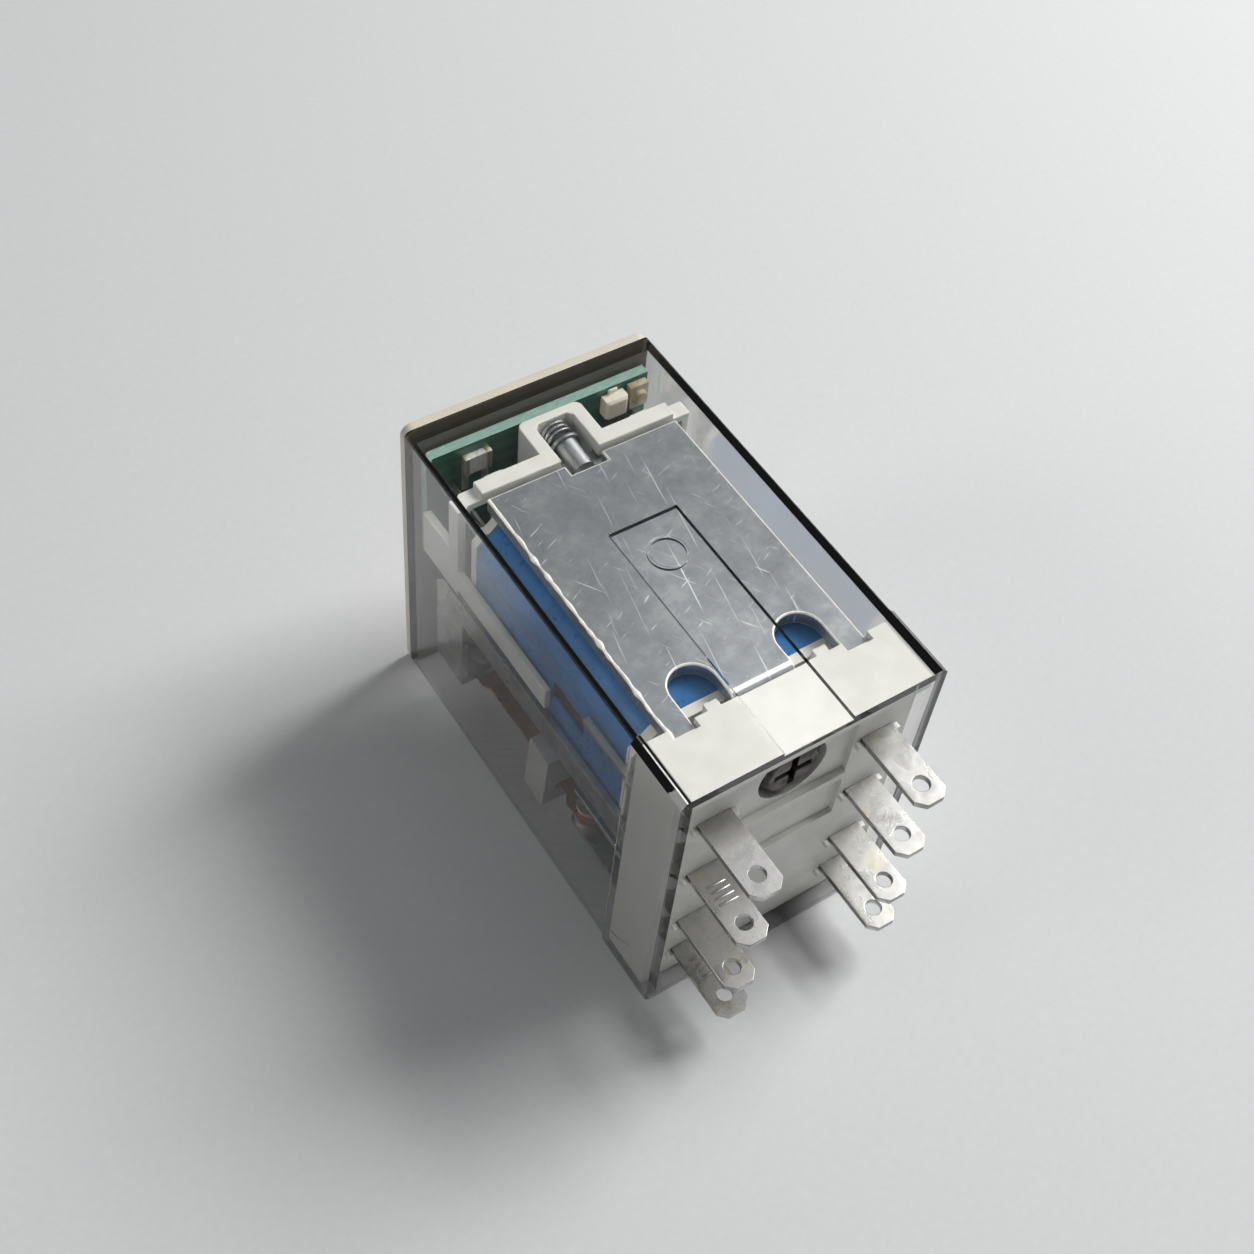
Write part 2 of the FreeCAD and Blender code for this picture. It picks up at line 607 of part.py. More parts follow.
for side, word in SIDES:
    for row_name in ROWS:
        block(base, "slot_%s_%s" % (row_name, word),
              side_range(side, "blade_inner - blade_fit", "blade_outer + blade_fit"),
              (minus("cut_past"), "base_back + cut_past"),
              (row_name + " - slot_half_high", row_name + " + slot_half_high"), cut=True)
    block(base, "leg_pocket_" + word,
          side_range(side, "leg_inner - pocket_fit", "yoke_half + pocket_fit"),
          ("leg_tip - pocket_fit", "base_back + bump_out"), ("yoke_under - pocket_fit", "base_high"),
          cut=True)
rod_along_y(base, "screw_well", "0", "screw_z", "well_r", ("0", "well_end"), cut=True)
rod_along_y(base, "screw_hole", "0", "screw_z", "shank_r + shank_fit", ("0", "base_back + cut_past"),
            cut=True)

# Frame screw
# Turned blank with a domed head, then the two slots of its cross recess.

frame_screw = new_body("frame_screw", z="screw_z")
screw_solid = turned(frame_screw, "screw_blank", "Y_Axis", "XY_Plane", [
    ("0", "head_front"), ("head_flat", "head_front"), ("head_r", "head_front + head_dome"),
    ("head_r", "well_end"), ("shank_r", "well_end"),
    ("shank_r", "spool_from - coil_play"), ("0", "spool_from - coil_play")])
block(frame_screw, "slot_across", (minus("cross_long"), "cross_long"),
      ("head_front - cut_past", "head_front + cross_deep"), (minus("cross_half"), "cross_half"), cut=True)
block(frame_screw, "slot_upright", (minus("cross_half"), "cross_half"),
      ("head_front - cut_past", "head_front + cross_deep"), (minus("cross_long"), "cross_long"), cut=True)

# Terminals
# Each is one stamping: the blade outside, and behind the base whatever its circuit needs.


def blade_corners(side, inner_corners):
    """Corners of a blade seen from above, from the tip round to the corners given for its inner end."""
    corners = [("blade_inner + blade_cut", minus("blade_out")),
               ("blade_outer - blade_cut", minus("blade_out")),
               ("blade_outer", "-blade_out + blade_cut")]
    corners += inner_corners
    corners += [("blade_inner", "-blade_out + blade_cut")]
    if side == LOW:
        corners = [(minus(across), along) for across, along in corners]
    return corners


def new_terminal(name, side, row_name, inner_corners):
    body = new_body(name)
    pad(body, name + "_blade", "XY_Plane", row_name + " - blade_thick / 2", "blade_thick",
        blade_corners(side, inner_corners))
    middle = "column" if side == HIGH else "-column"
    pocket(body, name + "_hole", "XY_Plane", row_name + " - blade_thick", "blade_thick * 2",
           circles=[(middle, "-blade_out + hole_back", "blade_hole")])
    return body, middle


for side, word in SIDES:
    new_terminal("coil_terminal_" + word, side, "coil_row", [
        ("blade_outer", "wide_from"), ("side_out", "wide_from"), ("side_out", "lead_end"),
        ("side_in", "lead_end"), ("side_in", "wide_to"), ("blade_inner", "wide_to")])

    com_terminal, middle = new_terminal("com_terminal_" + word, side, "com_row", [
        ("blade_outer", "wide_from"), ("side_out", "wide_from"), ("side_out", "wide_to"),
        ("blade_inner", "wide_to")])
    strip_level = "side_in" if side == HIGH else "-side_out"
    pad(com_terminal, "com_strip_" + word, "YZ_Plane", strip_level, "side_thick", [
        ("wide_from", "com_low"), ("tail_from", "com_low"), ("tail_from", "tab_low"),
        ("tail_to", "tab_low"), ("tail_to", "com_high - strip_cut"), ("tail_to - strip_cut", "com_high"),
        ("wide_from", "com_high")])
    block(com_terminal, "com_tab_" + word, side_range(side, "column - leaf_half", "side_out"),
          ("tail_from", "tail_to"), ("tab_low", "tab_high"))
    pocket(com_terminal, "com_rivet_hole_" + word, "XY_Plane", "tab_low - cut_past",
           "side_thick + cut_past * 2",
           circles=[(middle, "rivet_y", "rivet_shank")])

    for kind, row_name in (("no", "no_row"), ("nc", "nc_row")):
        fixed, middle = new_terminal("%s_terminal_%s" % (kind, word), side, row_name, [
            ("blade_outer", "fixed_end - blade_cut"), ("blade_outer - blade_cut", "fixed_end"),
            ("blade_inner + blade_cut", "fixed_end"), ("blade_inner", "fixed_end - blade_cut")])
        pocket(fixed, "%s_button_hole_%s" % (kind, word), "XY_Plane", row_name + " - blade_thick",
               "blade_thick * 2", circles=[(middle, "contact_y", "button_shank")])

# Contacts, moving springs and their rivets
# The fixed buttons are riveted through the strips, the moving one through its spring. At rest the
# moving contact lies on the normally closed one; the spring swings up about its rivet.

for side, word in SIDES:
    middle = "column" if side == HIGH else "-column"
    no_contact = new_body("no_contact_" + word, x=middle, y="contact_y")
    turned(no_contact, "no_button_" + word, "Z_Axis", "XZ_Plane", [
        ("0", "leaf_z + moving_half + contact_gap"), ("button_r", "leaf_z + moving_half + contact_gap"),
        ("button_r", "no_under"), ("button_shank", "no_under"), ("button_shank", "no_over"),
        ("button_tail", "no_over"), ("button_tail", "no_over + button_tail_high"),
        ("0", "no_over + button_tail_high")])
    nc_contact = new_body("nc_contact_" + word, x=middle, y="contact_y")
    turned(nc_contact, "nc_button_" + word, "Z_Axis", "XZ_Plane", [
        ("0", "leaf_z - moving_half - rest_gap"), ("button_r", "leaf_z - moving_half - rest_gap"),
        ("button_r", "nc_over"), ("button_shank", "nc_over"), ("button_shank", "nc_under"),
        ("button_tail", "nc_under"), ("button_tail", "nc_under - button_tail_high"),
        ("0", "nc_under - button_tail_high")])
    moving_contact = new_body("moving_contact_" + word, x=middle, y="contact_y", z="leaf_z")
    turned(moving_contact, "moving_button_" + word, "Z_Axis", "XZ_Plane", [
        ("0", minus("moving_half")), ("moving_r", minus("moving_half")), ("moving_r", "-leaf_thick / 2"),
        ("button_shank", "-leaf_thick / 2"), ("button_shank", "leaf_thick / 2"),
        ("moving_r", "leaf_thick / 2"), ("moving_r", "moving_half"), ("0", "moving_half")])
    moving_spring = new_body("moving_spring_" + word, x=middle, z="leaf_z")
    pad(moving_spring, "leaf_" + word, "XY_Plane", "-leaf_thick / 2", "leaf_thick", [
        ("-leaf_waist", "leaf_tip"), ("leaf_waist", "leaf_tip"), ("leaf_half", "leaf_tip + blade_cut"),
        ("leaf_half", "fixed_end"), ("leaf_waist", "fixed_end + blade_cut"),
        ("leaf_waist", "tail_from - blade_cut * 2"), ("leaf_half", "tail_from - blade_cut"),
        ("leaf_half", "leaf_far - blade_cut"), ("leaf_waist", "leaf_far"), ("-leaf_waist", "leaf_far"),
        ("-leaf_half", "leaf_far - blade_cut"), ("-leaf_half", "tail_from - blade_cut"),
        ("-leaf_waist", "tail_from - blade_cut * 2"), ("-leaf_waist", "fixed_end + blade_cut"),
        ("-leaf_half", "fixed_end"), ("-leaf_half", "leaf_tip + blade_cut")])
    pocket(moving_spring, "leaf_holes_" + word, "XY_Plane", minus("cut_past"), "cut_past * 2",
           circles=[("0", "contact_y", "button_shank"), ("0", "rivet_y", "rivet_shank + rivet_gap")])
    com_rivet = new_body("com_rivet_" + word, x=middle, y="rivet_y")
    turned(com_rivet, "rivet_" + word, "Z_Axis", "XZ_Plane", [
        ("0", "head_under - rivet_high"), ("rivet_flat", "head_under - rivet_high"),
        ("rivet_head", "head_under - rivet_high / 2"), ("rivet_head", "head_under"),
        ("rivet_shank", "head_under"), ("rivet_shank", "tab_high"), ("rivet_head", "tab_high"),
        ("rivet_head", "tab_high + rivet_high / 2"), ("rivet_flat", "tab_high + rivet_high"),
        ("0", "tab_high + rivet_high")])

# Yoke
# One sheet of steel: the flat plate with legs, notches and slot, and the tongue bent down in front of
# the coil, which the screw and the core's neck go through.

yoke = new_body("yoke")
yoke_right = [("slot_half", "yoke_far - slot_deep"), ("slot_half", "yoke_far"), ("yoke_half", "yoke_far"),
              ("yoke_half", "leg_tip"), ("leg_inner", "leg_tip"), ("leg_inner", "notch_y"),
              ("tongue_half", "notch_y"), ("tongue_half", "base_back")]
yoke_left = [(minus(across), along) for across, along in reversed(yoke_right)]
pad(yoke, "yoke_plate", "XY_Plane", "yoke_under", "yoke_thick", yoke_right + yoke_left)
pad(yoke, "tongue", "XZ_Plane", minus("spool_from"), "yoke_thick", [
    (minus("tongue_half"), "yoke_top - yoke_thick / 2"), (minus("tongue_half"), "tongue_step"),
    (minus("tongue_wide"), "tongue_low"), (minus("tongue_wide"), "tongue_end"),
    ("tongue_wide", "tongue_end"), ("tongue_wide", "tongue_low"), ("tongue_half", "tongue_step"),
    ("tongue_half", "yoke_top - yoke_thick / 2")])
yoke_solid = pocket(yoke, "notches", "XY_Plane", "yoke_under - cut_past", "yoke_thick + cut_past * 2",
                    circles=[("notch_mid", "notch_y", "notch_r"), ("-notch_mid", "notch_y", "notch_r")])
yoke_solid = round_edges(yoke, "bend", yoke_solid, "bend_round", lambda box:
                         near(box.ZMin, size("yoke_top")) and near(box.ZMax, size("yoke_top"))
                         and near(box.YMin, size("base_back")) and near(box.YMax, size("base_back")))
rod_along_y(yoke, "screw_thread", "0", "screw_z", "shank_r",
            ("base_back - cut_past", "spool_from + cut_past"), cut=True)
rod_along_y(yoke, "neck_hole", "0", "core_z", "neck_r", ("base_back - cut_past", "spool_from + cut_past"),
            cut=True)

# Core, spool, winding and tape
# All of them stand on the coil's axis, so their bodies have their origin there.

core = new_body("core", z="core_z")
turned(core, "core_blank", "Y_Axis", "XY_Plane", [
    ("0", "base_back"), ("neck_r", "base_back"), ("neck_r", "spool_from"), ("core_r", "spool_from"),
    ("core_r", "spool_to"), ("pole_r", "spool_to"), ("pole_r", "pole_face"), ("0", "pole_face")])

bobbin = new_body("bobbin", z="core_z")


def cut_corner_box(half_wide, half_high, cut):
    """Corners of a rectangle about the coil's axis with its corners cut off."""
    wide, high = "%s - %s" % (half_wide, cut), "%s - %s" % (half_high, cut)
    return [(minus(half_wide), minus(high)), (minus(wide), minus(half_high)),
            (wide, minus(half_high)), (half_wide, minus(high)),
            (half_wide, high), (wide, half_high),
            (minus(wide), half_high), (minus(half_wide), high)]


spool_end = cut_corner_box("spool_half", "spool_high", "spool_cut")
pad(bobbin, "near_end", "XZ_Plane", minus("spool_from + spool_near"), "spool_near", spool_end)
rod_along_y(bobbin, "tube", "0", "0", "tube_r", ("spool_from + spool_near / 2", "spool_to - spool_far / 2"))
pad(bobbin, "far_end", "XZ_Plane", minus("spool_to"), "spool_far", spool_end)
rod_along_y(bobbin, "bore", "0", "0", "bore_r", ("base_back", "yoke_far"), cut=True)
for side, word in SIDES:
    rod_along_y(bobbin, "wire_hole_" + word, "wire_x" if side == HIGH else "-wire_x", "wire_z - core_z",
                "wire_r", ("spool_to - spool_far - cut_past", "spool_to + cut_past"), cut=True)


def coil_box(half_wide, half_high):
    return [(minus(half_wide), minus(half_high)), (half_wide, minus(half_high)),
            (half_wide, half_high), (minus(half_wide), half_high)]


winding = new_body("winding", z="core_z")
wound = pad(winding, "wire_pack", "XZ_Plane", minus("coil_far"), "coil_far - coil_near",
            coil_box("wire_half", "wire_high"))
round_edges(winding, "wire_corners", wound, "tape_round - tape_thick", runs_along_y)
rod_along_y(winding, "wire_bore", "0", "0", "tube_r + coil_play", ("base_back", "yoke_far"), cut=True)

coil_tape = new_body("coil_tape", z="core_z")
tape_solid = pad(coil_tape, "tape_sleeve", "XZ_Plane", minus("coil_far"), "coil_far - coil_near",
                 coil_box("tape_half", "tape_high"),
                 opening=coil_box("wire_half", "wire_high"))
tape_solid = round_edges(coil_tape, "tape_inner_corners", tape_solid, "tape_round - tape_thick", lambda box:
                         runs_along_y(box) and abs(box.XMin) < size("tape_half") - TOUCH)
round_edges(coil_tape, "tape_corners", tape_solid, "tape_round", lambda box:
            runs_along_y(box) and near(abs(box.XMin), size("tape_half"))
            and near(abs(box.ZMin), size("tape_high")))
for side, word in SIDES:
    block(coil_tape, "tape_window_" + word, side_range(side, "wire_half - cut_past", "tape_half + cut_past"),
          ("window_from", "window_to"), ("window_down", "window_up"), cut=True)

# Armature and card
# Drawn pulled in, about the knife edge on which the armature hangs, and turned open as at rest. The
# card is moulded on to the armature's tip; its slots carry the two moving springs along.

armature = new_body("armature", y="hinge_y", z="yoke_under", turn="armature_open")
armature_solid = pad(armature, "angle", "YZ_Plane", minus("armature_half"), "armature_half * 2", [
    ("0", minus("shoulder")), ("armature_thick", minus("shoulder")),
    ("armature_thick", minus("armature_down")),
    (minus("armature_reach"), minus("armature_down")),
    (minus("armature_reach"), minus("armature_over")), ("0", minus("armature_over"))])
armature_solid = round_edges(armature, "angle_bend", armature_solid, "angle_round", lambda box:
                             near(box.YMin, size("armature_thick")) and near(box.YMax, size("armature_thick"))
                             and near(box.ZMin, -size("armature_down"))
                             and near(box.ZMax, -size("armature_down")))
block(armature, "tail", (minus("tail_half"), "tail_half"), ("0", "armature_thick"),
      (minus("shoulder"), "pin_up"))
rod_along_y(armature, "tail_pin", "0", "pin_up", "pin_r", (minus("pin_front"), "pin_back"))
rod_along_y(armature, "pin_collar", "0", "pin_up", "collar_r", ("pin_back - collar_long", "pin_back"))

armature_card = new_body("armature_card", y="hinge_y", z="yoke_under", turn="armature_open")
pad(armature_card, "card_block", "YZ_Plane", minus("card_half"), "card_half * 2", [
    (minus("card_near"), minus("card_top")), (minus("card_near"), minus("card_bottom")),
    (minus("card_far"), minus("card_bottom")), (minus("card_far"), minus("card_top"))])
block(armature_card, "card_socket", (minus("armature_half"), "armature_half"),
      (minus("armature_reach"), "0"), (minus("armature_down"), minus("armature_over")), cut=True)
block(armature_card, "card_middle", (minus("card_open"), "card_open"), (minus("card_near + cut_past"), "0"),
      (minus("card_bottom + cut_past"), minus("armature_down + card_web")), cut=True)
for side, word in SIDES:
    block(armature_card, "finger_slot_" + word,
          side_range(side, "column - leaf_waist - finger_play", "column + leaf_waist + finger_play"),
          (minus("card_near + cut_past"), "0"), ("finger_low", "finger_high"), cut=True)

# Bracket with the spring post and the return spring

board_bracket = new_body("board_bracket")
block(board_bracket, "bar", (minus("side_out"), "side_out"), ("bridge_front", "bridge_back"),
      ("bridge_low", "bridge_step"))
block(board_bracket, "high_bar", (minus("bridge_half"), "bridge_half"), ("bridge_front", "bridge_back"),
      ("bridge_low", "bridge_top"))
block(board_bracket, "u_block", (minus("u_out"), "u_out"), ("bridge_front", "u_end + u_back"),
      ("bridge_low", "bridge_top"))
u_solid = block(board_bracket, "u_walls", (minus("u_out"), "u_out"), ("u_deep_from", "u_end + u_back"),
                ("u_deep_low", "bridge_low"))
round_edges(board_bracket, "u_corners", u_solid, "u_round", lambda box:
            box.ZLength > TOUCH and box.XLength < TOUCH and box.YLength < TOUCH
            and near(abs(box.XMin), size("u_out")) and near(box.YMax, size("u_end") + size("u_back")))
for side, word in SIDES:
    block(board_bracket, "bump_" + word + "_bar",
          side_range(side, "bump_right - bump_half * 2", "bump_right + bump_half"),
          ("bridge_back", "bridge_back + bump_out"), ("bridge_low", "bridge_step"))
    block(board_bracket, "leg_" + word, side_range(side, "leg_in", "side_out"),
          ("bridge_front", "bridge_back"), ("block_low", "bridge_step"))
    block(board_bracket, "side_block_" + word, side_range(side, "leg_in", "side_out"),
          ("bridge_front", "board_y"), ("block_low", "block_high"))
    block(board_bracket, "arm_" + word, side_range(side, "side_in", "side_out"),
          ("arm_end", "bridge_front"), ("arm_low", "arm_high"))
pocket(board_bracket, "u_opening", "XY_Plane", "u_deep_low - cut_past",
       "bridge_top - u_deep_low + cut_past * 2", [
           (minus("u_half"), "bridge_front - cut_past"), ("u_half", "bridge_front - cut_past"),
           ("u_half", "u_end - u_bend"), ("u_half - u_bend", "u_end"), ("u_bend - u_half", "u_end"),
           (minus("u_half"), "u_end - u_bend")])
rod_along_y(board_bracket, "post_hole", "0", "post_z", "post_r", ("u_end - cut_past", "u_end + post_in"),
            cut=True)

spring_post = new_body("spring_post", z="post_z")
turned(spring_post, "post", "Y_Axis", "XY_Plane", [
    ("0", "post_from"), ("post_r - post_cut", "post_from"), ("post_r", "post_from + post_cut"),
    ("post_r", "u_end + post_in"), ("0", "u_end + post_in")])

# The return spring is a round wire swept along a helix. It is drawn along z and laid along y by its
# Placement. The helix is drawn through points, which keeps its box tight.
POINTS_PER_TURN = 16
spring_run = size("u_end") - size("spring_gap") - size("coil_from") - size("coil_wire")
point_count = int(size("coil_turns") * POINTS_PER_TURN) + 1
helix_points = []
for number in range(point_count):
    angle = 2 * math.pi * number / POINTS_PER_TURN
    helix_points.append(FreeCAD.Vector(size("coil_r") * math.cos(angle), size("coil_r") * math.sin(angle),
                                       spring_run * number / (point_count - 1)))
helix = Part.BSplineCurve()
helix.interpolate(helix_points)
wire_round = Part.Wire(Part.makeCircle(size("coil_wire"), helix_points[0], helix.tangent(0)[0]))
return_spring = doc.addObject("Part::Feature", "return_spring")
return_spring.Label = "return_spring"
return_spring.Shape = Part.Wire(helix.toShape()).makePipeShell([wire_round], True, True)
return_spring.Placement = FreeCAD.Placement(FreeCAD.Vector(0, 0, 0), FreeCAD.Vector(1, 0, 0), -90)
bound(return_spring, "Placement.Base.y", "coil_from + " + SHIFT)
bound(return_spring, "Placement.Base.z", "post_z")

# Circuit board and what stands on it

circuit_board = new_body("circuit_board")
pad(circuit_board, "board", "XZ_Plane", minus("board_y + board_thick"), "board_thick", [
    (minus("board_half"), "board_low"), ("board_half", "board_low"),
    ("board_half", "board_high"), (minus("board_half"), "board_high")],
    circles=[("wire_x", "wire_z", "wire_r"), ("-wire_x", "wire_z", "wire_r")])
for side, word in SIDES:
    board_wire = new_body("board_wire_" + word, x="wire_x" if side == HIGH else "-wire_x", z="wire_z")
    rod_along_y(board_wire, "wire_" + word, "0", "0", "wire_r",
                ("spool_to - spool_far", "board_y + board_thick + wire_out"))

resistor = new_body("resistor", x="-chip_mid")
block(resistor, "chip", (minus("chip_half"), "chip_half"), ("board_y - chip_thick", "board_y"),
      ("chip_low", "chip_high"))
for side, word in SIDES:
    block(resistor, "cap_" + word, side_range(side, "chip_in_half", "chip_out"), ("cap_front", "board_y"),
          ("chip_low - cap_out", "chip_high + cap_out"))

diode = new_body("diode")
diode_solid = block(diode, "diode_case", ("diode_from", "diode_to"), ("board_y - diode_thick", "board_y"),
                    ("diode_low", "diode_high"))
bevel_edges(diode, "diode_edges", diode_solid, "diode_round", lambda box:
            near(box.YMax, size("board_y") - size("diode_thick")))
lead_range = ("diode_mid - diode_lead", "diode_mid + diode_lead")
block(diode, "lead_low", lead_range, ("board_y - diode_lead / 2", "board_y"),
      ("diode_low - diode_lead", "diode_low"))
block(diode, "lead_high", lead_range, ("board_y - diode_lead / 2", "board_y"),
      ("diode_high", "diode_high + diode_lead"))

indicator_led = new_body("indicator_led")
block(indicator_led, "led_case", ("led_from", "led_to"), ("board_y - led_thick", "board_y"),
      ("led_low", "led_high"))
rod_along_y(indicator_led, "led_lens_body", "led_mid", "led_middle", "led_lens",
            ("board_y - led_thick - led_lens_high", "board_y - led_thick / 2"))

# Check and export

doc.recompute()
pieces = [item for item in doc.Objects if item.TypeId == "PartDesign::Body"] + [return_spring]
for item in doc.Objects:
    if "Invalid" in item.State or "Error" in item.State:
        raise RuntimeError("%s is %s" % (item.Name, item.State))
for piece in pieces:
    if piece.Shape.isNull() or not piece.Shape.isValid() or len(piece.Shape.Solids) != 1:
        raise RuntimeError("%s has no single valid solid" % piece.Label)
    piece.Shape.exportStep("parts/%s.step" % piece.Label)
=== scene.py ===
# %% [markdown]
# A plug-in relay lies on its side. Its cover is clear and slightly smoky, so nearly everything inside
# shows: a scratched steel yoke, a coil wrapped in blue tape, white mouldings and a small green board.
# The solids come packed from CAD as a fixed frame. This lesson gives them worn edges, finishes, light
# and a camera, and adds the small things that are too fine for the solids.

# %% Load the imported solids
import json
import math

import bmesh
import bpy
from mathutils import Matrix, Vector, noise

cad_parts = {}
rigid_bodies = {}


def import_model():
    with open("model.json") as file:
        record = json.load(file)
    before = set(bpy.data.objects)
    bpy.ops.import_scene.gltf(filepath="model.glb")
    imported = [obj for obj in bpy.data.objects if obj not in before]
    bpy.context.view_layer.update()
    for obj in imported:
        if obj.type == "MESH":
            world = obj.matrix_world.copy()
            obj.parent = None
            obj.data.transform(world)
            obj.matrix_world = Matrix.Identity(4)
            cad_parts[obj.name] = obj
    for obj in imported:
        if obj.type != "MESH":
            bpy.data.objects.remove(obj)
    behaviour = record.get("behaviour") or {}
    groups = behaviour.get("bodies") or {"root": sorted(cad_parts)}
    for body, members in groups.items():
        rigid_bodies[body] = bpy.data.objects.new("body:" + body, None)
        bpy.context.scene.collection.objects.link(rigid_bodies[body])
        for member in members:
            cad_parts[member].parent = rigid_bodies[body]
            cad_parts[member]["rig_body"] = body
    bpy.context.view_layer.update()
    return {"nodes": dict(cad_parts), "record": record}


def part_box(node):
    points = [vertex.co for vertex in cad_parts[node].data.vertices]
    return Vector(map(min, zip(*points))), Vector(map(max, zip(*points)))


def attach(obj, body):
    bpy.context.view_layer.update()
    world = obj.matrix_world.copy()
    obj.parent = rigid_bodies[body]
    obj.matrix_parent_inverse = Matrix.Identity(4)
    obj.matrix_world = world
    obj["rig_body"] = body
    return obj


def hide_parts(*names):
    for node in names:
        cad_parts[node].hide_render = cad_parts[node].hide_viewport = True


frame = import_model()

NODES = frame["nodes"]
MM = 0.001

# %% [markdown]
# Colours are written as the hex values that a picture editor shows. Blender's sockets hold linear
# light, which is hard to picture as numbers, so one function turns the one into the other. One more
# function adds a node, sets its options and fills or links its sockets. It keeps each material below
# down to what makes it look right.

# %% Colour and node helpers


def linear(hex_text):
    """A colour written as sRGB hex, as the linear values that a socket holds."""
    channels = [int(hex_text[i:i + 2], 16) / 255 for i in (0, 2, 4)]
    return [c / 12.92 if c <= 0.04045 else ((c + 0.055) / 1.055) ** 2.4 for c in channels] + [1.0]


def fill(node, inputs):
    """Sets a node's inputs. A node or a socket is linked, anything else is set as a value."""
    links = node.id_data.links
    for name, value in inputs.items():
        if isinstance(value, bpy.types.Node):
            links.new(value.outputs[0], node.inputs[name])
        elif isinstance(value, bpy.types.NodeSocket):
            links.new(value, node.inputs[name])
        else:
            node.inputs[name].default_value = value


def add_node(owner, kind, inputs=None, stops=(), **options):
    """Adds a node to a material or world. A ramp's stops are pairs of position and tone."""
    node = owner.node_tree.nodes.new(kind)
    for name, value in options.items():
        setattr(node, name, value)
    fill(node, inputs or {})
    for number, (position, tone) in enumerate(stops):
        if number > 1:
            node.color_ramp.elements.new(position)
        element = node.color_ramp.elements[number]
        element.position = position
        element.color = linear(tone) if isinstance(tone, str) else (tone, tone, tone, 1.0)
    return node


def new_material(name):
    """A node material with its shader, and the object's own coordinates in metres."""
    material = bpy.data.materials.new(name)
    material.use_nodes = True
    material.node_tree.nodes.clear()
    shader = add_node(material, "ShaderNodeBsdfPrincipled")
    add_node(material, "ShaderNodeOutputMaterial", {"Surface": shader})
    return material, shader, add_node(material, "ShaderNodeTexCoord").outputs["Object"]


def per_mm(size):
    """The Scale of a pattern whose features are about that many millimetres across."""
    return 1 / (size * MM)


print("hex 808080 in linear light", round(linear("808080")[0], 3))

# %% [markdown]
# The cover is injection-moulded polycarbonate with a little grey dye. A tinted surface would darken
# every wall alike. On the real cover one wall takes away hardly any light, but an edge is looked
# through for many millimetres, so the edges go nearly black. That is what Volume Absorption does,
# with a density worked out from the wall. Lamps shine through by a Light Path switch, because plain
# glass would leave everything under it in noise.

# %% Smoky polycarbonate
# The cover's top wall in millimetres, and the share of the light that passes it
COVER_WALL = 0.85
WALL_PASSES = 0.87
SMOKE_PER_METRE = -math.log(WALL_PASSES) / (COVER_WALL * MM)


def smoky_polycarbonate_moulded():
    """Clear with a faint ripple from the mould, and darker the deeper it is looked through."""
    material, shader, place = new_material("smoky_polycarbonate_moulded")
    ripple = add_node(material, "ShaderNodeTexNoise", {"Vector": place, "Scale": per_mm(9.0), "Detail": 1.0})
    skin = add_node(material, "ShaderNodeBump", {"Height": ripple, "Distance": 0.012 * MM, "Strength": 0.4})
    fill(shader, {"Base Color": linear("f8f8f7"), "Transmission Weight": 1.0, "IOR": 1.5,
                  "Roughness": 0.015, "Normal": skin})
    ray = add_node(material, "ShaderNodeLightPath")
    clear = add_node(material, "ShaderNodeBsdfTransparent", {"Color": linear("f8f8f7")})
    mix = add_node(material, "ShaderNodeMixShader", {
        "Fac": ray.outputs["Is Shadow Ray"], 1: shader, 2: clear})
    smoke = add_node(material, "ShaderNodeVolumeAbsorption", {
        "Color": linear("262625"), "Density": SMOKE_PER_METRE})
    fill(material.node_tree.get_output_node("ALL"), {"Surface": mix, "Volume": smoke})
    return material


COVER_FINISH = smoky_polycarbonate_moulded()
print("smoke per metre", round(SMOKE_PER_METRE, 1))

# %% [markdown]
# Five finishes are opaque and moulded or fired: the white of base, spool and bracket, the cream of
# the end plate, the grey of the card, the black of the diode's lower half and the body of the
# resistor. One even colour would look like wax. A filler gives the real ones a satin gloss, a slight
# mottle in the colour and a skin that is not quite flat, so one function makes them from two tones.

# %% Moulded plastics


def moulded_plastic(name, tone, shade, roughness, mottle_mm=1.6):
    """Two tones in soft clouds, a fine grain in the gloss and a skin that is not quite flat."""
    material, shader, place = new_material(name)
    cloud = add_node(material, "ShaderNodeTexNoise", {
        "Vector": place, "Scale": per_mm(mottle_mm), "Detail": 4.0})
    grain = add_node(material, "ShaderNodeTexNoise", {"Vector": place, "Scale": per_mm(0.25), "Detail": 3.0})
    sink = add_node(material, "ShaderNodeTexNoise", {"Vector": place, "Scale": per_mm(2.5), "Detail": 2.0})
    skin = add_node(material, "ShaderNodeBump", {"Height": sink, "Distance": 0.03 * MM, "Strength": 0.35})
    fill(shader, {
        "Base Color": add_node(material, "ShaderNodeValToRGB", {"Fac": cloud}, [(0.3, shade), (0.65, tone)]),
        "Roughness": add_node(material, "ShaderNodeValToRGB", {"Fac": grain}, [
            (0.3, roughness - 0.06), (0.7, roughness + 0.08)]),
        "Normal": add_node(material, "ShaderNodeBump", {
            "Height": grain, "Distance": 0.006 * MM, "Strength": 0.5, "Normal": skin}),
        "IOR": 1.53})
    return material


WHITE_NYLON = moulded_plastic("white_nylon_moulded", "e7e6e1", "dfded8", 0.4)
CREAM_NYLON = moulded_plastic("cream_nylon_moulded", "e4decc", "dfd8c5", 0.42)
GREY_PHENOLIC = moulded_plastic("grey_phenolic_moulded", "c4c4c0", "b4b4b0", 0.5, 2.4)
BLACK_EPOXY = moulded_plastic("black_epoxy_moulded", "26272a", "17181a", 0.45, 0.6)
CERAMIC = moulded_plastic("ceramic_fired", "d9d8d2", "c4c2ba", 0.3, 0.5)
print("materials with the moulded ones", len(bpy.data.materials))

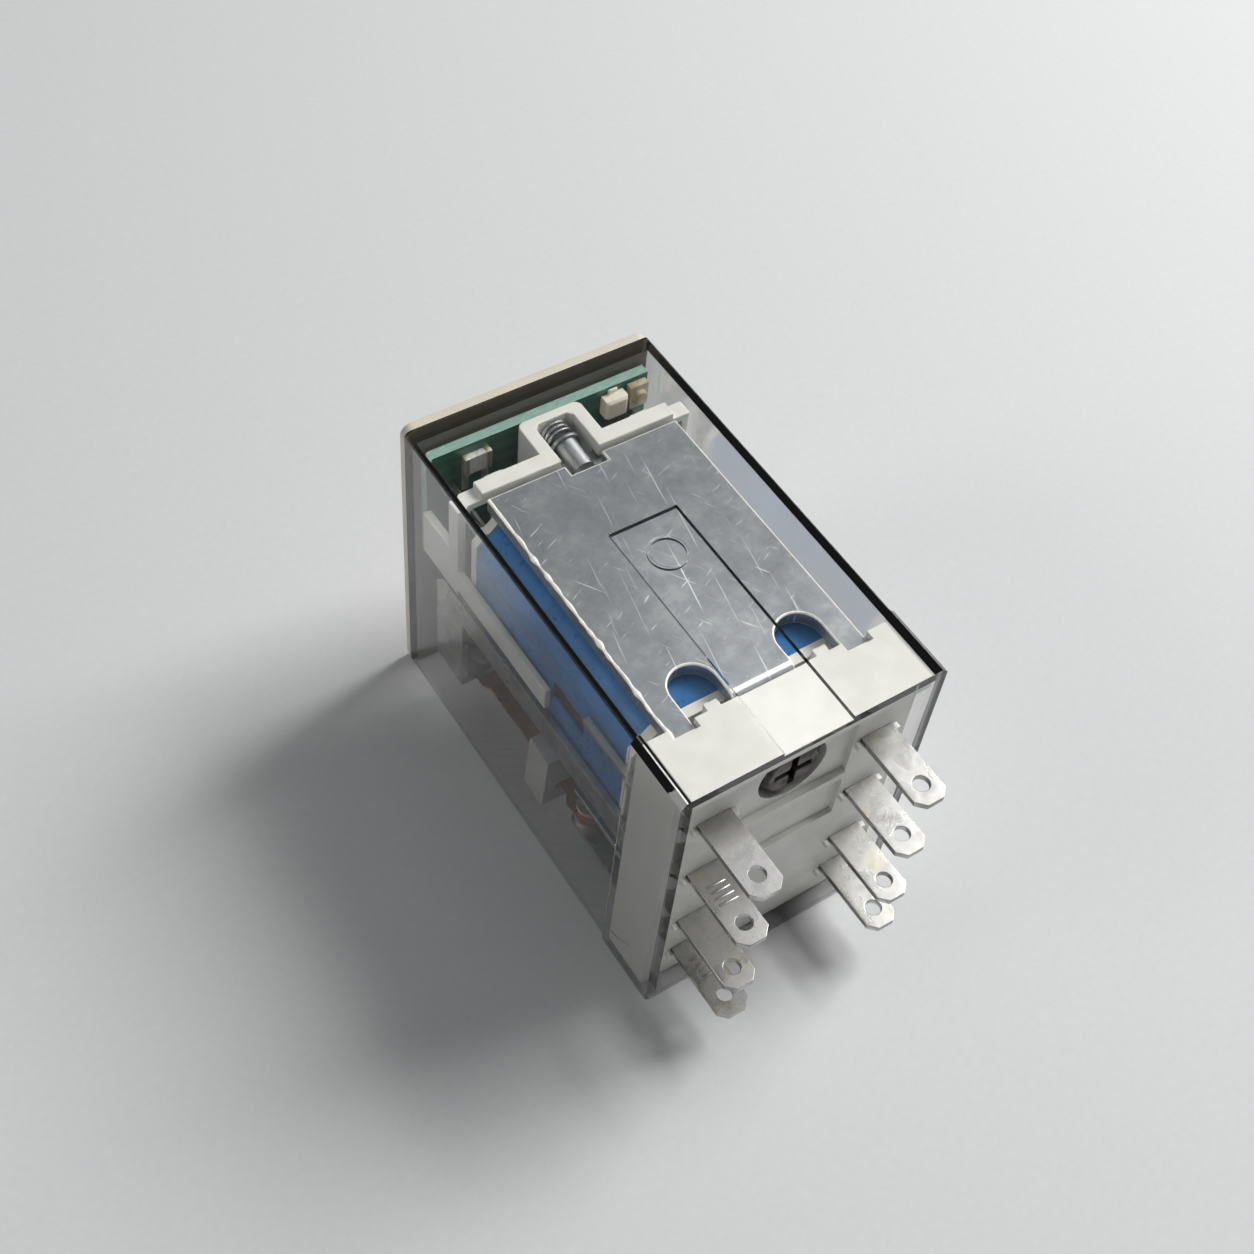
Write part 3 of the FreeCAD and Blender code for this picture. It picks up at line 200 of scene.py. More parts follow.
# %% [markdown]
# The yoke is cold-rolled steel with a thin zinc plating. It has been handled: fine scratches run
# three ways, the plating is cloudy in patches, and the sheared edges are bright, partly from fresh
# metal and partly as a painted glint. A picture of scratches would have to be laid out over the
# sheet. Noise that is drawn out along one way and sharpened by a ramp needs no layout, and its sizes
# are real millimetres.

# %% Zinc-plated steel
# Each set of scratches: angle in degrees, width and length in millimetres, and where its ramp starts.
# Real ones are a few hundredths of a millimetre wide. These are drawn about twice as wide, so that
# they show in the render.
SCRATCHES = ((11, 0.2, 9.0, 0.67), (-33, 0.15, 3.4, 0.69), (66, 0.13, 1.8, 0.69))
# A ramp is this long and ends at this share of the bright tone.
SCRATCH_RAMP = 0.06
SCRATCH_SHARE = 0.8


def drawn_out(across, along, upwards):
    """The Scale of a mapping after which a pattern of scale 1 has features of these millimetres."""
    return per_mm(across), per_mm(along), per_mm(upwards)


def zinc_plated_steel_rolled():
    """Cloudy grey plating under three sets of thin, bright scratches."""
    material, shader, place = new_material("zinc_plated_steel_rolled")
    cloud = add_node(material, "ShaderNodeTexNoise", {
        "Vector": place, "Scale": per_mm(3.2), "Detail": 5.0, "Roughness": 0.62})
    patches = add_node(material, "ShaderNodeValToRGB", {"Fac": cloud}, [
        (0.32, "888c90"), (0.52, "a0a4a8"), (0.7, "bcbfc1")])
    marks = []
    for angle, width, length, threshold in SCRATCHES:
        turned = add_node(material, "ShaderNodeMapping", {
            "Vector": place, "Rotation": (0, 0, math.radians(angle))})
        lane = add_node(material, "ShaderNodeMapping", {
            "Vector": turned, "Scale": drawn_out(width, length, 2.0)})
        streak = add_node(material, "ShaderNodeTexNoise", {"Vector": lane, "Scale": 1.0, "Detail": 2.0})
        marks.append(add_node(material, "ShaderNodeValToRGB", {"Fac": streak}, [
            (threshold, 0.0), (threshold + SCRATCH_RAMP, SCRATCH_SHARE)]))
    both = add_node(material, "ShaderNodeMath", {0: marks[0], 1: marks[1]}, operation="MAXIMUM")
    scratched = add_node(material, "ShaderNodeMath", {0: both, 1: marks[2]}, operation="MAXIMUM")
    colour = add_node(material, "ShaderNodeMix", {0: scratched, 6: patches, 7: linear("f0f2f2")},
                      data_type="RGBA")
    rolled = add_node(material, "ShaderNodeMapping", {"Vector": place, "Scale": drawn_out(0.12, 4.0, 1.0)})
    fine = add_node(material, "ShaderNodeTexNoise", {"Vector": rolled, "Scale": 1.0, "Detail": 3.0})
    dents = add_node(material, "ShaderNodeBump", {
        "Height": scratched, "Distance": 0.012 * MM, "Strength": 0.5})
    fill(shader, {
        "Base Color": colour.outputs[2], "Metallic": 1.0,
        "Roughness": add_node(material, "ShaderNodeValToRGB", {"Fac": cloud}, [(0.3, 0.5), (0.7, 0.38)]),
        "Normal": add_node(material, "ShaderNodeBump", {
            "Height": fine, "Distance": 0.004 * MM, "Strength": 0.6, "Normal": dents})})
    return material


def zinc_sheared_edge_painted_glint():
    """Sheared steel, near-white: partly fresh torn metal, partly a painted glint."""
    material, shader, place = new_material("zinc_sheared_edge_painted_glint")
    torn = add_node(material, "ShaderNodeMapping", {"Vector": place, "Scale": drawn_out(0.4, 0.25, 0.8)})
    tears = add_node(material, "ShaderNodeTexNoise", {"Vector": torn, "Scale": 1.0, "Detail": 4.0})
    # The near-white base colour below is partly a painted glint of the lamps along the edges.
    fill(shader, {
        "Base Color": add_node(material, "ShaderNodeValToRGB", {"Fac": tears}, [
            (0.3, "e6e4dd"), (0.6, "fffdf6")]),
        "Metallic": 0.15,
        "Roughness": add_node(material, "ShaderNodeValToRGB", {"Fac": tears}, [(0.3, 0.42), (0.7, 0.26)]),
        "Normal": add_node(material, "ShaderNodeBump", {
            "Height": tears, "Distance": 0.05 * MM, "Strength": 0.8})})
    return material


YOKE_STEEL = zinc_plated_steel_rolled()
YOKE_EDGE_AND_GLINT = zinc_sheared_edge_painted_glint()
print("yoke finishes", YOKE_STEEL.name, YOKE_EDGE_AND_GLINT.name)

# %% [markdown]
# The other metals share one recipe: a base tone, a stain tone in cloudy patches, and fine streaks
# from rolling or turning. The blades need one of their own. They are brass under a dip of tin, so
# the tin pools in soft clouds and the brass shows faintly yellow where the dip ran thin.

# %% Stamped, drawn and turned metals
# A streak is this many times longer than wide.
STREAK_STRETCH = 30


def worked_metal(name, tone, stain, roughness, patch_mm=1.4, streak_mm=0.08):
    """A metal with cloudy stains, duller where it is stained, and fine streaks along y."""
    material, shader, place = new_material(name)
    cloud = add_node(material, "ShaderNodeTexNoise", {
        "Vector": place, "Scale": per_mm(patch_mm), "Detail": 4.0, "Roughness": 0.6})
    lane = add_node(material, "ShaderNodeMapping", {
        "Vector": place, "Scale": drawn_out(streak_mm, streak_mm * STREAK_STRETCH, streak_mm)})
    streaks = add_node(material, "ShaderNodeTexNoise", {"Vector": lane, "Scale": 1.0, "Detail": 2.0})
    fill(shader, {
        "Base Color": add_node(material, "ShaderNodeValToRGB", {"Fac": cloud}, [(0.32, stain), (0.58, tone)]),
        "Metallic": 1.0,
        "Roughness": add_node(material, "ShaderNodeValToRGB", {"Fac": cloud}, [
            (0.3, roughness + 0.14), (0.68, roughness - 0.06)]),
        "Normal": add_node(material, "ShaderNodeBump", {
            "Height": streaks, "Distance": 0.004 * MM, "Strength": 0.6})})
    return material


def tinned_brass_dipped():
    """Tin over brass: cloudy silver grey, with a warm cast where the dip ran thin."""
    material, shader, place = new_material("tinned_brass_dipped")
    cloud = add_node(material, "ShaderNodeTexNoise", {
        "Vector": place, "Scale": per_mm(1.7), "Detail": 4.0, "Roughness": 0.5})
    tin = add_node(material, "ShaderNodeValToRGB", {"Fac": cloud}, [
        (0.3, "969592"), (0.5, "b5b4b1"), (0.7, "d4d3d0")])
    spread = add_node(material, "ShaderNodeTexNoise", {"Vector": place, "Scale": per_mm(2.6), "Detail": 2.0})
    thin = add_node(material, "ShaderNodeValToRGB", {"Fac": spread}, [(0.58, 0.0), (0.76, 0.4)])
    colour = add_node(material, "ShaderNodeMix", {0: thin, 6: tin, 7: linear("cfc08e")}, data_type="RGBA")
    pooled = add_node(material, "ShaderNodeTexNoise", {"Vector": place, "Scale": per_mm(0.7), "Detail": 3.0})
    ripple = add_node(material, "ShaderNodeBump", {"Height": pooled, "Distance": 0.014 * MM, "Strength": 0.5})
    lane = add_node(material, "ShaderNodeMapping", {"Vector": place, "Scale": drawn_out(0.06, 2.5, 0.5)})
    rubbed = add_node(material, "ShaderNodeTexNoise", {"Vector": lane, "Scale": 1.0, "Detail": 2.0})
    fill(shader, {
        "Base Color": colour.outputs[2], "Metallic": 1.0,
        "Roughness": add_node(material, "ShaderNodeValToRGB", {"Fac": cloud}, [(0.3, 0.42), (0.7, 0.2)]),
        "Normal": add_node(material, "ShaderNodeBump", {
            "Height": rubbed, "Distance": 0.006 * MM, "Strength": 0.6, "Normal": ripple})})
    return material


TINNED_BRASS = tinned_brass_dipped()
BRONZE = worked_metal("spring_bronze_rolled", "c98a5c", "a0603a", 0.3)
SILVER = worked_metal("silver_alloy_headed", "e2e0da", "c4c1b8", 0.26, 0.6)
SOFT_IRON = worked_metal("soft_iron_plated", "b4b6b8", "8d9092", 0.34)
SPRING_STEEL = worked_metal("spring_steel_drawn", "c6c8ca", "9fa1a3", 0.24, 0.5)
# The screw head's tones are dark steel, made darker as painted shade of the well it sits in.
SCREW_STEEL_AND_SHADE = worked_metal("dark_steel_and_painted_shade", "55524e", "2d2b29", 0.34, 0.8)
SOLDER = worked_metal("solder_reflowed", "ded8c8", "c2b698", 0.5, 0.6)
print("materials with the metals", len(bpy.data.materials))

# %% [markdown]
# The coil is wound with enamelled copper wire and then wrapped in blue polyester tape. Every turn
# could be modelled, but the wire shows only in one narrow gap and is much finer than a pixel. So its
# turns are drawn as a wave across the coil, a little coarser than life, and the wave's dark troughs
# are painted shade between the turns. The tape is a glossy film: it sags a little between what lies
# under it and shows soft folds along the coil.

# %% Copper wire and blue tape
# Millimetres from turn to turn
WIRE_PITCH = 0.22
# A wave texture of scale 1 repeats its bands at this length, so the Scale is this times per_mm(pitch).
WAVE_BAND = math.pi / 10


def enamelled_copper_wound():
    """Round turns side by side: a wave along the coil's axis lifts each turn, with painted shade between."""
    material, shader, place = new_material("enamelled_copper_wound")
    turns = add_node(material, "ShaderNodeTexWave", {
        "Vector": place, "Scale": per_mm(WIRE_PITCH) * WAVE_BAND, "Distortion": 0.6},
        wave_type="BANDS", bands_direction="Y")
    height = turns.outputs["Fac"]
    # The dark end of the colour ramp below is painted shade in the grooves between the turns.
    fill(shader, {
        "Base Color": add_node(material, "ShaderNodeValToRGB", {"Fac": height}, [
            (0.1, "5e2a12"), (0.6, "b5622f")]),
        "Metallic": 1.0, "Roughness": 0.3, "Coat Weight": 0.6, "Coat Roughness": 0.15,
        "Normal": add_node(material, "ShaderNodeBump", {
            "Height": height, "Distance": 0.1 * MM, "Strength": 0.9})})
    return material


def blue_polyester_tape_wrapped():
    """Glossy blue film in two close tones, with folds that run along the coil."""
    material, shader, place = new_material("blue_polyester_tape_wrapped")
    cloud = add_node(material, "ShaderNodeTexNoise", {"Vector": place, "Scale": per_mm(4.0), "Detail": 3.0})
    grain = add_node(material, "ShaderNodeTexNoise", {"Vector": place, "Scale": per_mm(0.5), "Detail": 3.0})
    lane = add_node(material, "ShaderNodeMapping", {"Vector": place, "Scale": drawn_out(2.2, 14.0, 1.1)})
    folds = add_node(material, "ShaderNodeTexNoise", {"Vector": lane, "Scale": 1.0, "Detail": 2.0})
    under = add_node(material, "ShaderNodeBump", {"Height": folds, "Distance": 0.22 * MM, "Strength": 0.5})
    fill(shader, {
        "Base Color": add_node(material, "ShaderNodeValToRGB", {"Fac": cloud}, [
            (0.3, "005f9e"), (0.7, "0379c2")]),
        "Roughness": add_node(material, "ShaderNodeValToRGB", {"Fac": grain}, [(0.3, 0.26), (0.7, 0.38)]),
        "IOR": 1.57, "Coat Weight": 0.3, "Coat Roughness": 0.12,
        "Normal": add_node(material, "ShaderNodeBump", {
            "Height": grain, "Distance": 0.008 * MM, "Strength": 0.4, "Normal": under})})
    return material


COPPER = enamelled_copper_wound()
BLUE_TAPE = blue_polyester_tape_wrapped()
print("turns of wire to a centimetre", round(10 / WIRE_PITCH))

# %% [markdown]
# The board is glass-fibre sheet under green solder mask, milled out of a panel, so its cut edge is
# paler than its faces. One material for both would need a mask, and two are simpler, because each
# face of the mesh belongs wholly to one. The indicator is a clear epoxy block with a warm cast from
# the frame inside it. That frame isn't modelled: two tones in clouds stand for it.

# %% Board and indicator
# Millimetres from thread to thread, about twice as coarse as life
WEAVE_PITCH = 1.2


def green_solder_mask():
    """Glossy green lacquer over a faint weave, which is drawn coarser than life."""
    material, shader, place = new_material("green_solder_mask")
    weave = add_node(material, "ShaderNodeTexWave", {
        "Vector": place, "Scale": per_mm(WEAVE_PITCH) * WAVE_BAND, "Distortion": 2.5, "Detail": 2.0},
        wave_type="BANDS", bands_direction="Z").outputs["Fac"]
    fill(shader, {
        "Base Color": add_node(material, "ShaderNodeValToRGB", {"Fac": weave}, [
            (0.3, "134f38"), (0.8, "1a5d43")]),
        "Roughness": 0.3, "Coat Weight": 0.3,
        "Normal": add_node(material, "ShaderNodeBump", {
            "Height": weave, "Distance": 0.02 * MM, "Strength": 0.4})})
    return material


def glass_fibre_milled():
    """Cut glass fibres: pale, dull and streaked through the thickness."""
    material, shader, place = new_material("glass_fibre_milled")
    lane = add_node(material, "ShaderNodeMapping", {"Vector": place, "Scale": drawn_out(0.6, 0.08, 0.6)})
    fibres = add_node(material, "ShaderNodeTexNoise", {"Vector": lane, "Scale": 1.0, "Detail": 3.0})
    fill(shader, {
        "Base Color": add_node(material, "ShaderNodeValToRGB", {"Fac": fibres}, [
            (0.3, "7b9e93"), (0.7, "9dbab0")]),
        "Roughness": 0.6,
        "Normal": add_node(material, "ShaderNodeBump", {
            "Height": fibres, "Distance": 0.02 * MM, "Strength": 0.5})})
    return material


def clear_epoxy_cast():
    """Half-clear epoxy whose inner frame gives it warm patches."""
    material, shader, place = new_material("clear_epoxy_cast")
    cloud = add_node(material, "ShaderNodeTexNoise", {"Vector": place, "Scale": per_mm(0.9), "Detail": 2.0})
    fill(shader, {
        "Base Color": add_node(material, "ShaderNodeValToRGB", {"Fac": cloud}, [
            (0.3, "c9b98a"), (0.7, "ece6cf")]),
        "Transmission Weight": 0.35, "IOR": 1.54, "Roughness": 0.12})
    return material


BOARD_MASK = green_solder_mask()
BOARD_EDGE = glass_fibre_milled()
CLEAR_EPOXY = clear_epoxy_cast()
print("materials", len(bpy.data.materials))

# %% [markdown]
# No real edge is a perfect corner: a moulding has a small radius, and a stamping has a rolled edge
# and a burr. All nodes but two are copied, and their triangles are merged back into whole faces,
# because a bevel that meets the diagonals of a flat face makes slivers. Then the sharp edges get a
# bevel as wide as the real one. The work is done in millimetres, because some operators lose very
# small lengths. Normals weighted by face area keep the large faces flat beside their narrow bevels.
# Each copy stands for its CAD node.

# %% Copies with worked edges
SMOOTH_BELOW = math.radians(40)
SHARP_FROM = math.radians(35)
FLAT_WITHIN = math.radians(0.5)
# Corners nearer to each other than this, in millimetres, are merged.
MERGE_WITHIN = 0.002
ALL_WAYS = Vector((1, 1, 1))


def finished_piece(name, shape, finishes, body):
    """Turns a bmesh in metres into an object with smooth, area-weighted normals, riding on a body."""
    mesh = bpy.data.meshes.new(name)
    shape.to_mesh(mesh)
    shape.free()
    for finish in finishes:
        mesh.materials.append(finish)
    mesh.shade_smooth()
    mesh.set_sharp_from_angle(angle=SMOOTH_BELOW)
    piece = bpy.data.objects.new(name, mesh)
    bpy.context.scene.collection.objects.link(piece)
    weighted = piece.modifiers.new("face_area", "WEIGHTED_NORMAL")
    weighted.keep_sharp = True
    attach(piece, body)
    return piece


def edged_copy(node_name, width, *finishes):
    """A copy of a CAD node, its edges bevelled by a width in millimetres. A second finish goes there."""
    source = NODES[node_name]
    shape = bmesh.new()
    shape.from_mesh(source.data)
    bmesh.ops.scale(shape, vec=ALL_WAYS / MM, verts=shape.verts)
    bmesh.ops.remove_doubles(shape, verts=shape.verts, dist=MERGE_WITHIN)
    bmesh.ops.dissolve_limit(shape, angle_limit=FLAT_WITHIN, verts=shape.verts, edges=shape.edges)
    for face in shape.faces:
        face.material_index = 0
    sharp = [edge for edge in shape.edges
             if len(edge.link_faces) == 2 and edge.calc_face_angle(0.0) > SHARP_FROM]
    made = bmesh.ops.bevel(shape, geom=sharp, offset=width, offset_type="OFFSET", affect="EDGES",
                           segments=2, profile=0.5, material=-1, clamp_overlap=True)
    for face in made["faces"]:
        face.material_index = len(finishes) - 1
    bmesh.ops.recalc_face_normals(shape, faces=shape.faces)
    bmesh.ops.scale(shape, vec=ALL_WAYS * MM, verts=shape.verts)
    piece = finished_piece(node_name + "_edged", shape, finishes, source["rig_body"])
    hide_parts(node_name)
    return piece


# %% [markdown]
# The cover comes first. A moulding tool with sharp corners made it, so its edges get a very small
# bevel, and the refraction at each of them is a thin clean line. A wider one would smear what lies
# behind it. The end plate is snapped on behind the cover, and its corners are softer.

# %% Cover and end plate
# Sizes are in millimetres, here and in the cells that follow, unless a comment says metres.
COVER_EDGE = 0.09
PLATE_EDGE = 0.12
cover = edged_copy("cover", COVER_EDGE, COVER_FINISH)
end_plate = edged_copy("end_plate", PLATE_EDGE, CREAM_NYLON)
print("faces of cover", len(cover.data.polygons), "and end plate", len(end_plate.data.polygons))

# %% [markdown]
# The base, the coil's spool, the bracket and the card on the armature come out of moulds too, with
# soft edges of about a tenth of a millimetre. Each catches a thin line of light. They differ only
# in finish, so one loop makes them.

# %% Base, spool, bracket and card
MOULDED_EDGE = 0.1
for name, finish in (("base", WHITE_NYLON), ("bobbin", WHITE_NYLON), ("board_bracket", WHITE_NYLON),
                     ("armature_card", GREY_PHENOLIC)):
    piece = edged_copy(name, MOULDED_EDGE, finish)
    print(name, len(piece.data.polygons))

# %% [markdown]
# The yoke is punched from sheet and bent. Its bright edges could be painted on with a mask, but the
# bevels lie just where the press worked. So they take the sheared finish, whose near-white is partly a
# painted glint, and it draws the thin line round the plate and the notches. The top of the tongue's
# bend takes it too, as a painted highlight where the bend would mirror the key lamp.

# %% Yoke and the other iron parts
SHEET_EDGE = 0.14
TURNED_EDGE = 0.08
STAMPED_EDGE = 0.06
# The top of the bend looks nearly straight up, and leans towards the blades at low y.
BEND_UP_FROM = 0.9
BEND_UP_TO = 0.99
BEND_LEAN = -0.1
yoke = edged_copy("yoke", SHEET_EDGE, YOKE_STEEL, YOKE_EDGE_AND_GLINT)
# These faces take the near-white edge finish as a painted highlight of the key lamp.
bend = [face for face in yoke.data.polygons
        if BEND_UP_FROM < face.normal.z < BEND_UP_TO and face.normal.y < BEND_LEAN]
for face in bend:
    face.material_index = 1
for name in ("armature", "core", "spring_post"):
    edged_copy(name, TURNED_EDGE, SOFT_IRON)
# The screw's finish carries painted shade of its well.
edged_copy("frame_screw", STAMPED_EDGE, SCREW_STEEL_AND_SHADE)
print("faces on the top of the bend", len(bend))

# %% [markdown]
# Blades, springs, rivets and contacts are small stampings and headed pieces with a narrow roll at
# each edge. Their nodes are told apart by name, so one loop over all nodes dresses them.

# %% Blades, springs and contacts
THIN_EDGE = 0.03
for name in NODES:
    if "_terminal_" in name:
        edged_copy(name, STAMPED_EDGE, TINNED_BRASS)
    elif name.startswith("moving_spring"):
        edged_copy(name, THIN_EDGE, BRONZE)
    elif "contact_" in name:
        edged_copy(name, TURNED_EDGE, SILVER)
    elif name.startswith(("com_rivet", "board_wire")):
        edged_copy(name, STAMPED_EDGE, TINNED_BRASS)

# %% [markdown]
# The winding lies under the tape, and the return spring is a round wire without edges. A copy would
# add nothing, so both keep their CAD meshes and get their finishes through the material slots. The
# tape has cut edges, so it is a copy like the others.

# %% Coil and return spring
for name, finish in (("winding", COPPER), ("return_spring", SPRING_STEEL)):
    slot = NODES[name].material_slots[0]
    slot.link = "OBJECT"
    slot.material = finish
coil_tape = edged_copy("coil_tape", STAMPED_EDGE, BLUE_TAPE)
print("faces of the tape", len(coil_tape.data.polygons))

# %% [markdown]
# The diode is moulded in two halves, a cream one above a dark one. A texture could switch between
# them, but where they meet is a straight line, so a plane cuts the faces there and each face takes
# one finish. The end plate's cream does for the upper half.

# %% Diode
DARK_SHARE = 0.4
CUT_WITHIN = 0.001
diode = edged_copy("diode", STAMPED_EDGE, BLACK_EPOXY)
diode.data.materials.append(CREAM_NYLON)
diode_low, diode_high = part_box("diode")
parting = diode_low[2] + DARK_SHARE * (diode_high[2] - diode_low[2])
halves = bmesh.new()
halves.from_mesh(diode.data)
bmesh.ops.bisect_plane(halves, geom=halves.verts[:] + halves.edges[:] + halves.faces[:],
                       dist=CUT_WITHIN * MM, plane_co=(0, 0, parting), plane_no=(0, 0, 1))
for face in halves.faces:
    face.material_index = 1 if face.calc_center_median().z > parting else 0
halves.to_mesh(diode.data)
halves.free()
print("the diode's halves meet at z in mm", round(parting / MM, 2))

# %% [markdown]
# The board stands upright and looks along y, so a face that looks any other way is its cut edge and
# takes the paler finish. The resistor is a chip with soldered ends, and its faces near either end
# take the solder.

# %% Indicator, board and resistor
# A face whose normal has less than this share along y looks aside.
LOOKS_ASIDE = 0.5
CAP_LONG = 0.4
edged_copy("indicator_led", STAMPED_EDGE, CLEAR_EPOXY)
board = edged_copy("circuit_board", THIN_EDGE, BOARD_MASK)
board.data.materials.append(BOARD_EDGE)
for face in board.data.polygons:
    face.material_index = 1 if abs(face.normal.y) < LOOKS_ASIDE else 0
resistor = edged_copy("resistor", STAMPED_EDGE, CERAMIC)
resistor.data.materials.append(SOLDER)
resistor_low, resistor_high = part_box("resistor")
for face in resistor.data.polygons:
    from_end = min(face.center.x - resistor_low[0], resistor_high[0] - face.center.x)
    face.material_index = 1 if from_end < CAP_LONG * MM else 0
print("CAD meshes kept", sum(1 for node in NODES.values() if not node.hide_render))

# %% [markdown]
# The press leaves a torn burr along the yoke's left edge. Its near-white finish is partly fresh
# metal and partly a painted glint. A bevel is too even for it, and a bump could not change the
# outline. So it is a narrow grid laid along the edge, with a rounded crest, and its line and its
# width wander by a noise.

# %% Burr on the yoke
RIBBON_STEPS = 260
RIBBON_LANES = 4
# The line sways and the width swells over these lengths.
SWAY_OVER = 1.6
SWELL_OVER = 0.9
# The share of the width that swells, and the lane of the noise that it is read from
SWELL = 1.2
SWELL_LANE = 5
# The height of the crest as a share of the width
CREST_SHARE = 1 / 4
UP = Vector((0, 0, 1))
BURR_INSET = 0.06
BURR_END_GAP = 0.1
BURR_WIDTH = 0.26
BURR_WANDER = 0.1


def ribbon(name, start, end, lift, width, wander, finish):
    """A low ridge from start to end, on a face that looks along lift. All lengths are in metres."""
    along = end - start
    side = along.normalized().cross(lift)
    shape = bmesh.new()
    bmesh.ops.create_grid(shape, x_segments=RIBBON_LANES, y_segments=RIBBON_STEPS, size=0.5)
    for vertex in shape.verts:
        across, run = vertex.co.x, vertex.co.y + 0.5
        sway = noise.noise(Vector((run * along.length / (SWAY_OVER * MM), 0, 0)))
        swell = 1 + SWELL * noise.noise(Vector((run * along.length / (SWELL_OVER * MM), SWELL_LANE, 0)))
        crest = (1 - (2 * across) ** 2) * swell * width * CREST_SHARE
        vertex.co = start + along * run + side * (sway * wander + across * width * swell) + lift * crest
    bmesh.ops.recalc_face_normals(shape, faces=shape.faces)
    return finished_piece(name, shape, [finish], "frame")


yoke_low, yoke_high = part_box("yoke")
burr_x = yoke_low[0] + BURR_INSET * MM
burr = ribbon("yoke_burr", Vector((burr_x, yoke_low[1] + BURR_END_GAP * MM, yoke_high[2])),
              Vector((burr_x, yoke_high[1] - BURR_END_GAP * MM, yoke_high[2])),
              UP, BURR_WIDTH * MM, BURR_WANDER * MM, YOKE_EDGE_AND_GLINT)
print("burr faces", len(burr.data.polygons))

# %% [markdown]
# The base has one hairline mark on its left side, a thin dark line. It is the same ribbon, thinner,
# in a dark grey that the function for mouldings makes.

# %% Hairline on the base
# Where it starts and ends, in millimetres from the base's blade end and from its lower face
HAIRLINE = ((5.0, 1.25), (2.7, 2.45))
HAIRLINE_WIDTH = 0.1
HAIRLINE_WANDER = 0.3
HAIRLINE_GREY = moulded_plastic("dark_grey_hairline", "55524e", "42403d", 0.6, 0.4)
LEFT = Vector((-1, 0, 0))
base_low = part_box("base")[0]
hairline_start, hairline_end = (
    Vector((base_low[0], base_low[1] + from_end * MM, base_low[2] + up * MM)) for from_end, up in HAIRLINE)
ribbon("base_hairline", hairline_start, hairline_end, LEFT, HAIRLINE_WIDTH * MM, HAIRLINE_WANDER * MM,
       HAIRLINE_GREY)
print("hairline length in mm", round((hairline_end - hairline_start).length / MM, 2))

# %% [markdown]
# The chip resistor is soldered to two tinned pads on the board. They are thin blocks. A bevel gives
# them the rounded rim that solder draws, and a cube with bevelled edges needs no modifier.

# %% Pads of the resistor
PAD_WIDE = 0.55
PAD_TALL = 1.9
PAD_THICK = 0.1
PAD_EDGE = 0.03


def small_block(name, low, high, edge, finish):
    """A block between two corners in metres, with bevelled edges."""
    shape = bmesh.new()
    bmesh.ops.create_cube(shape, size=1.0)
    bmesh.ops.scale(shape, vec=Vector(high) - Vector(low), verts=shape.verts)
    bmesh.ops.translate(shape, vec=(Vector(low) + Vector(high)) / 2, verts=shape.verts)
    bmesh.ops.bevel(shape, geom=shape.edges[:], offset=edge, offset_type="OFFSET", affect="EDGES",
                    segments=2, profile=0.5, material=-1, clamp_overlap=True)
    return finished_piece(name, shape, [finish], "frame")


board_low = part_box("circuit_board")[0]
for side, pad_x in (("left", resistor_low[0]), ("right", resistor_high[0] - PAD_WIDE * MM)):
    small_block("pad_" + side, (pad_x, board_low[1] - PAD_THICK * MM, resistor_low[2] - PAD_TALL * MM),
                (pad_x + PAD_WIDE * MM, board_low[1], resistor_low[2]), PAD_EDGE * MM, SOLDER)
print("pads reach down from z in mm", round(resistor_low[2] / MM, 2))

# %% [markdown]
# The press left short bright marks across two of the left blades. They are the same small blocks,
# sunk halfway into the blade's upper face, and the frame's mounts say where the blades' holes are.

# %% Press marks on the blades
MARK_COUNT = 4
MARK_PITCH = 0.5
MARK_FROM_HOLE = 1.7
MARK_HALF_LENGTH = 0.75
MARK_WIDE = 0.2
MARK_PROUD = 0.05
MARK_EDGE = 0.04
BLADE_HALF_THICKNESS = 0.25
MOUNTS = {mount["name"]: mount for mount in frame["record"]["mounts"]}
for row in ("com", "nc"):
    holes = MOUNTS[row + "_blade_holes"]
    mark_x = -holes["dims"]["spacing_x_mm"] / 2 * MM
    mark_z = holes["pos_m"][2] + BLADE_HALF_THICKNESS * MM
    for number in range(MARK_COUNT):
        mark_y = holes["pos_m"][1] + (MARK_FROM_HOLE + number * MARK_PITCH) * MM
        small_block("%s_mark_%d" % (row, number),
                    (mark_x - MARK_HALF_LENGTH * MM, mark_y, mark_z - MARK_PROUD * MM),
                    (mark_x + MARK_HALF_LENGTH * MM, mark_y + MARK_WIDE * MM, mark_z + MARK_PROUD * MM),
                    MARK_EDGE * MM, TINNED_BRASS)
print("marks on each blade", MARK_COUNT)

# %% [markdown]
# The floor is a large pale sheet. Near the relay it takes light and shadow as paper does. Further
# off it fades into an even pale tone, so the background stays plain from any side, and a low camera
# sees only a faint step at the horizon. A curved backdrop would do the same for one camera only. The
# fade is for rays that are looked along, straight, in a mirror or through glass. The light that the
# floor throws back is left alone.

# %% Floor
PALE = linear("dadbdb")
# Half the side of the sheet, and how far from the relay the fade starts and ends, all in metres
FLOOR_HALF = 1.5
FADE_FROM = 0.14
FADE_TO = 0.5


def seen_rays(owner):
    """Two sockets: one for rays straight from the camera, one for rays off a mirror or through glass."""
    ray = add_node(owner, "ShaderNodeLightPath")
    mirrored = add_node(owner, "ShaderNodeMath", {
        0: ray.outputs["Is Glossy Ray"], 1: ray.outputs["Is Transmission Ray"]}, operation="MAXIMUM")
    return ray.outputs["Is Camera Ray"], mirrored.outputs[0]


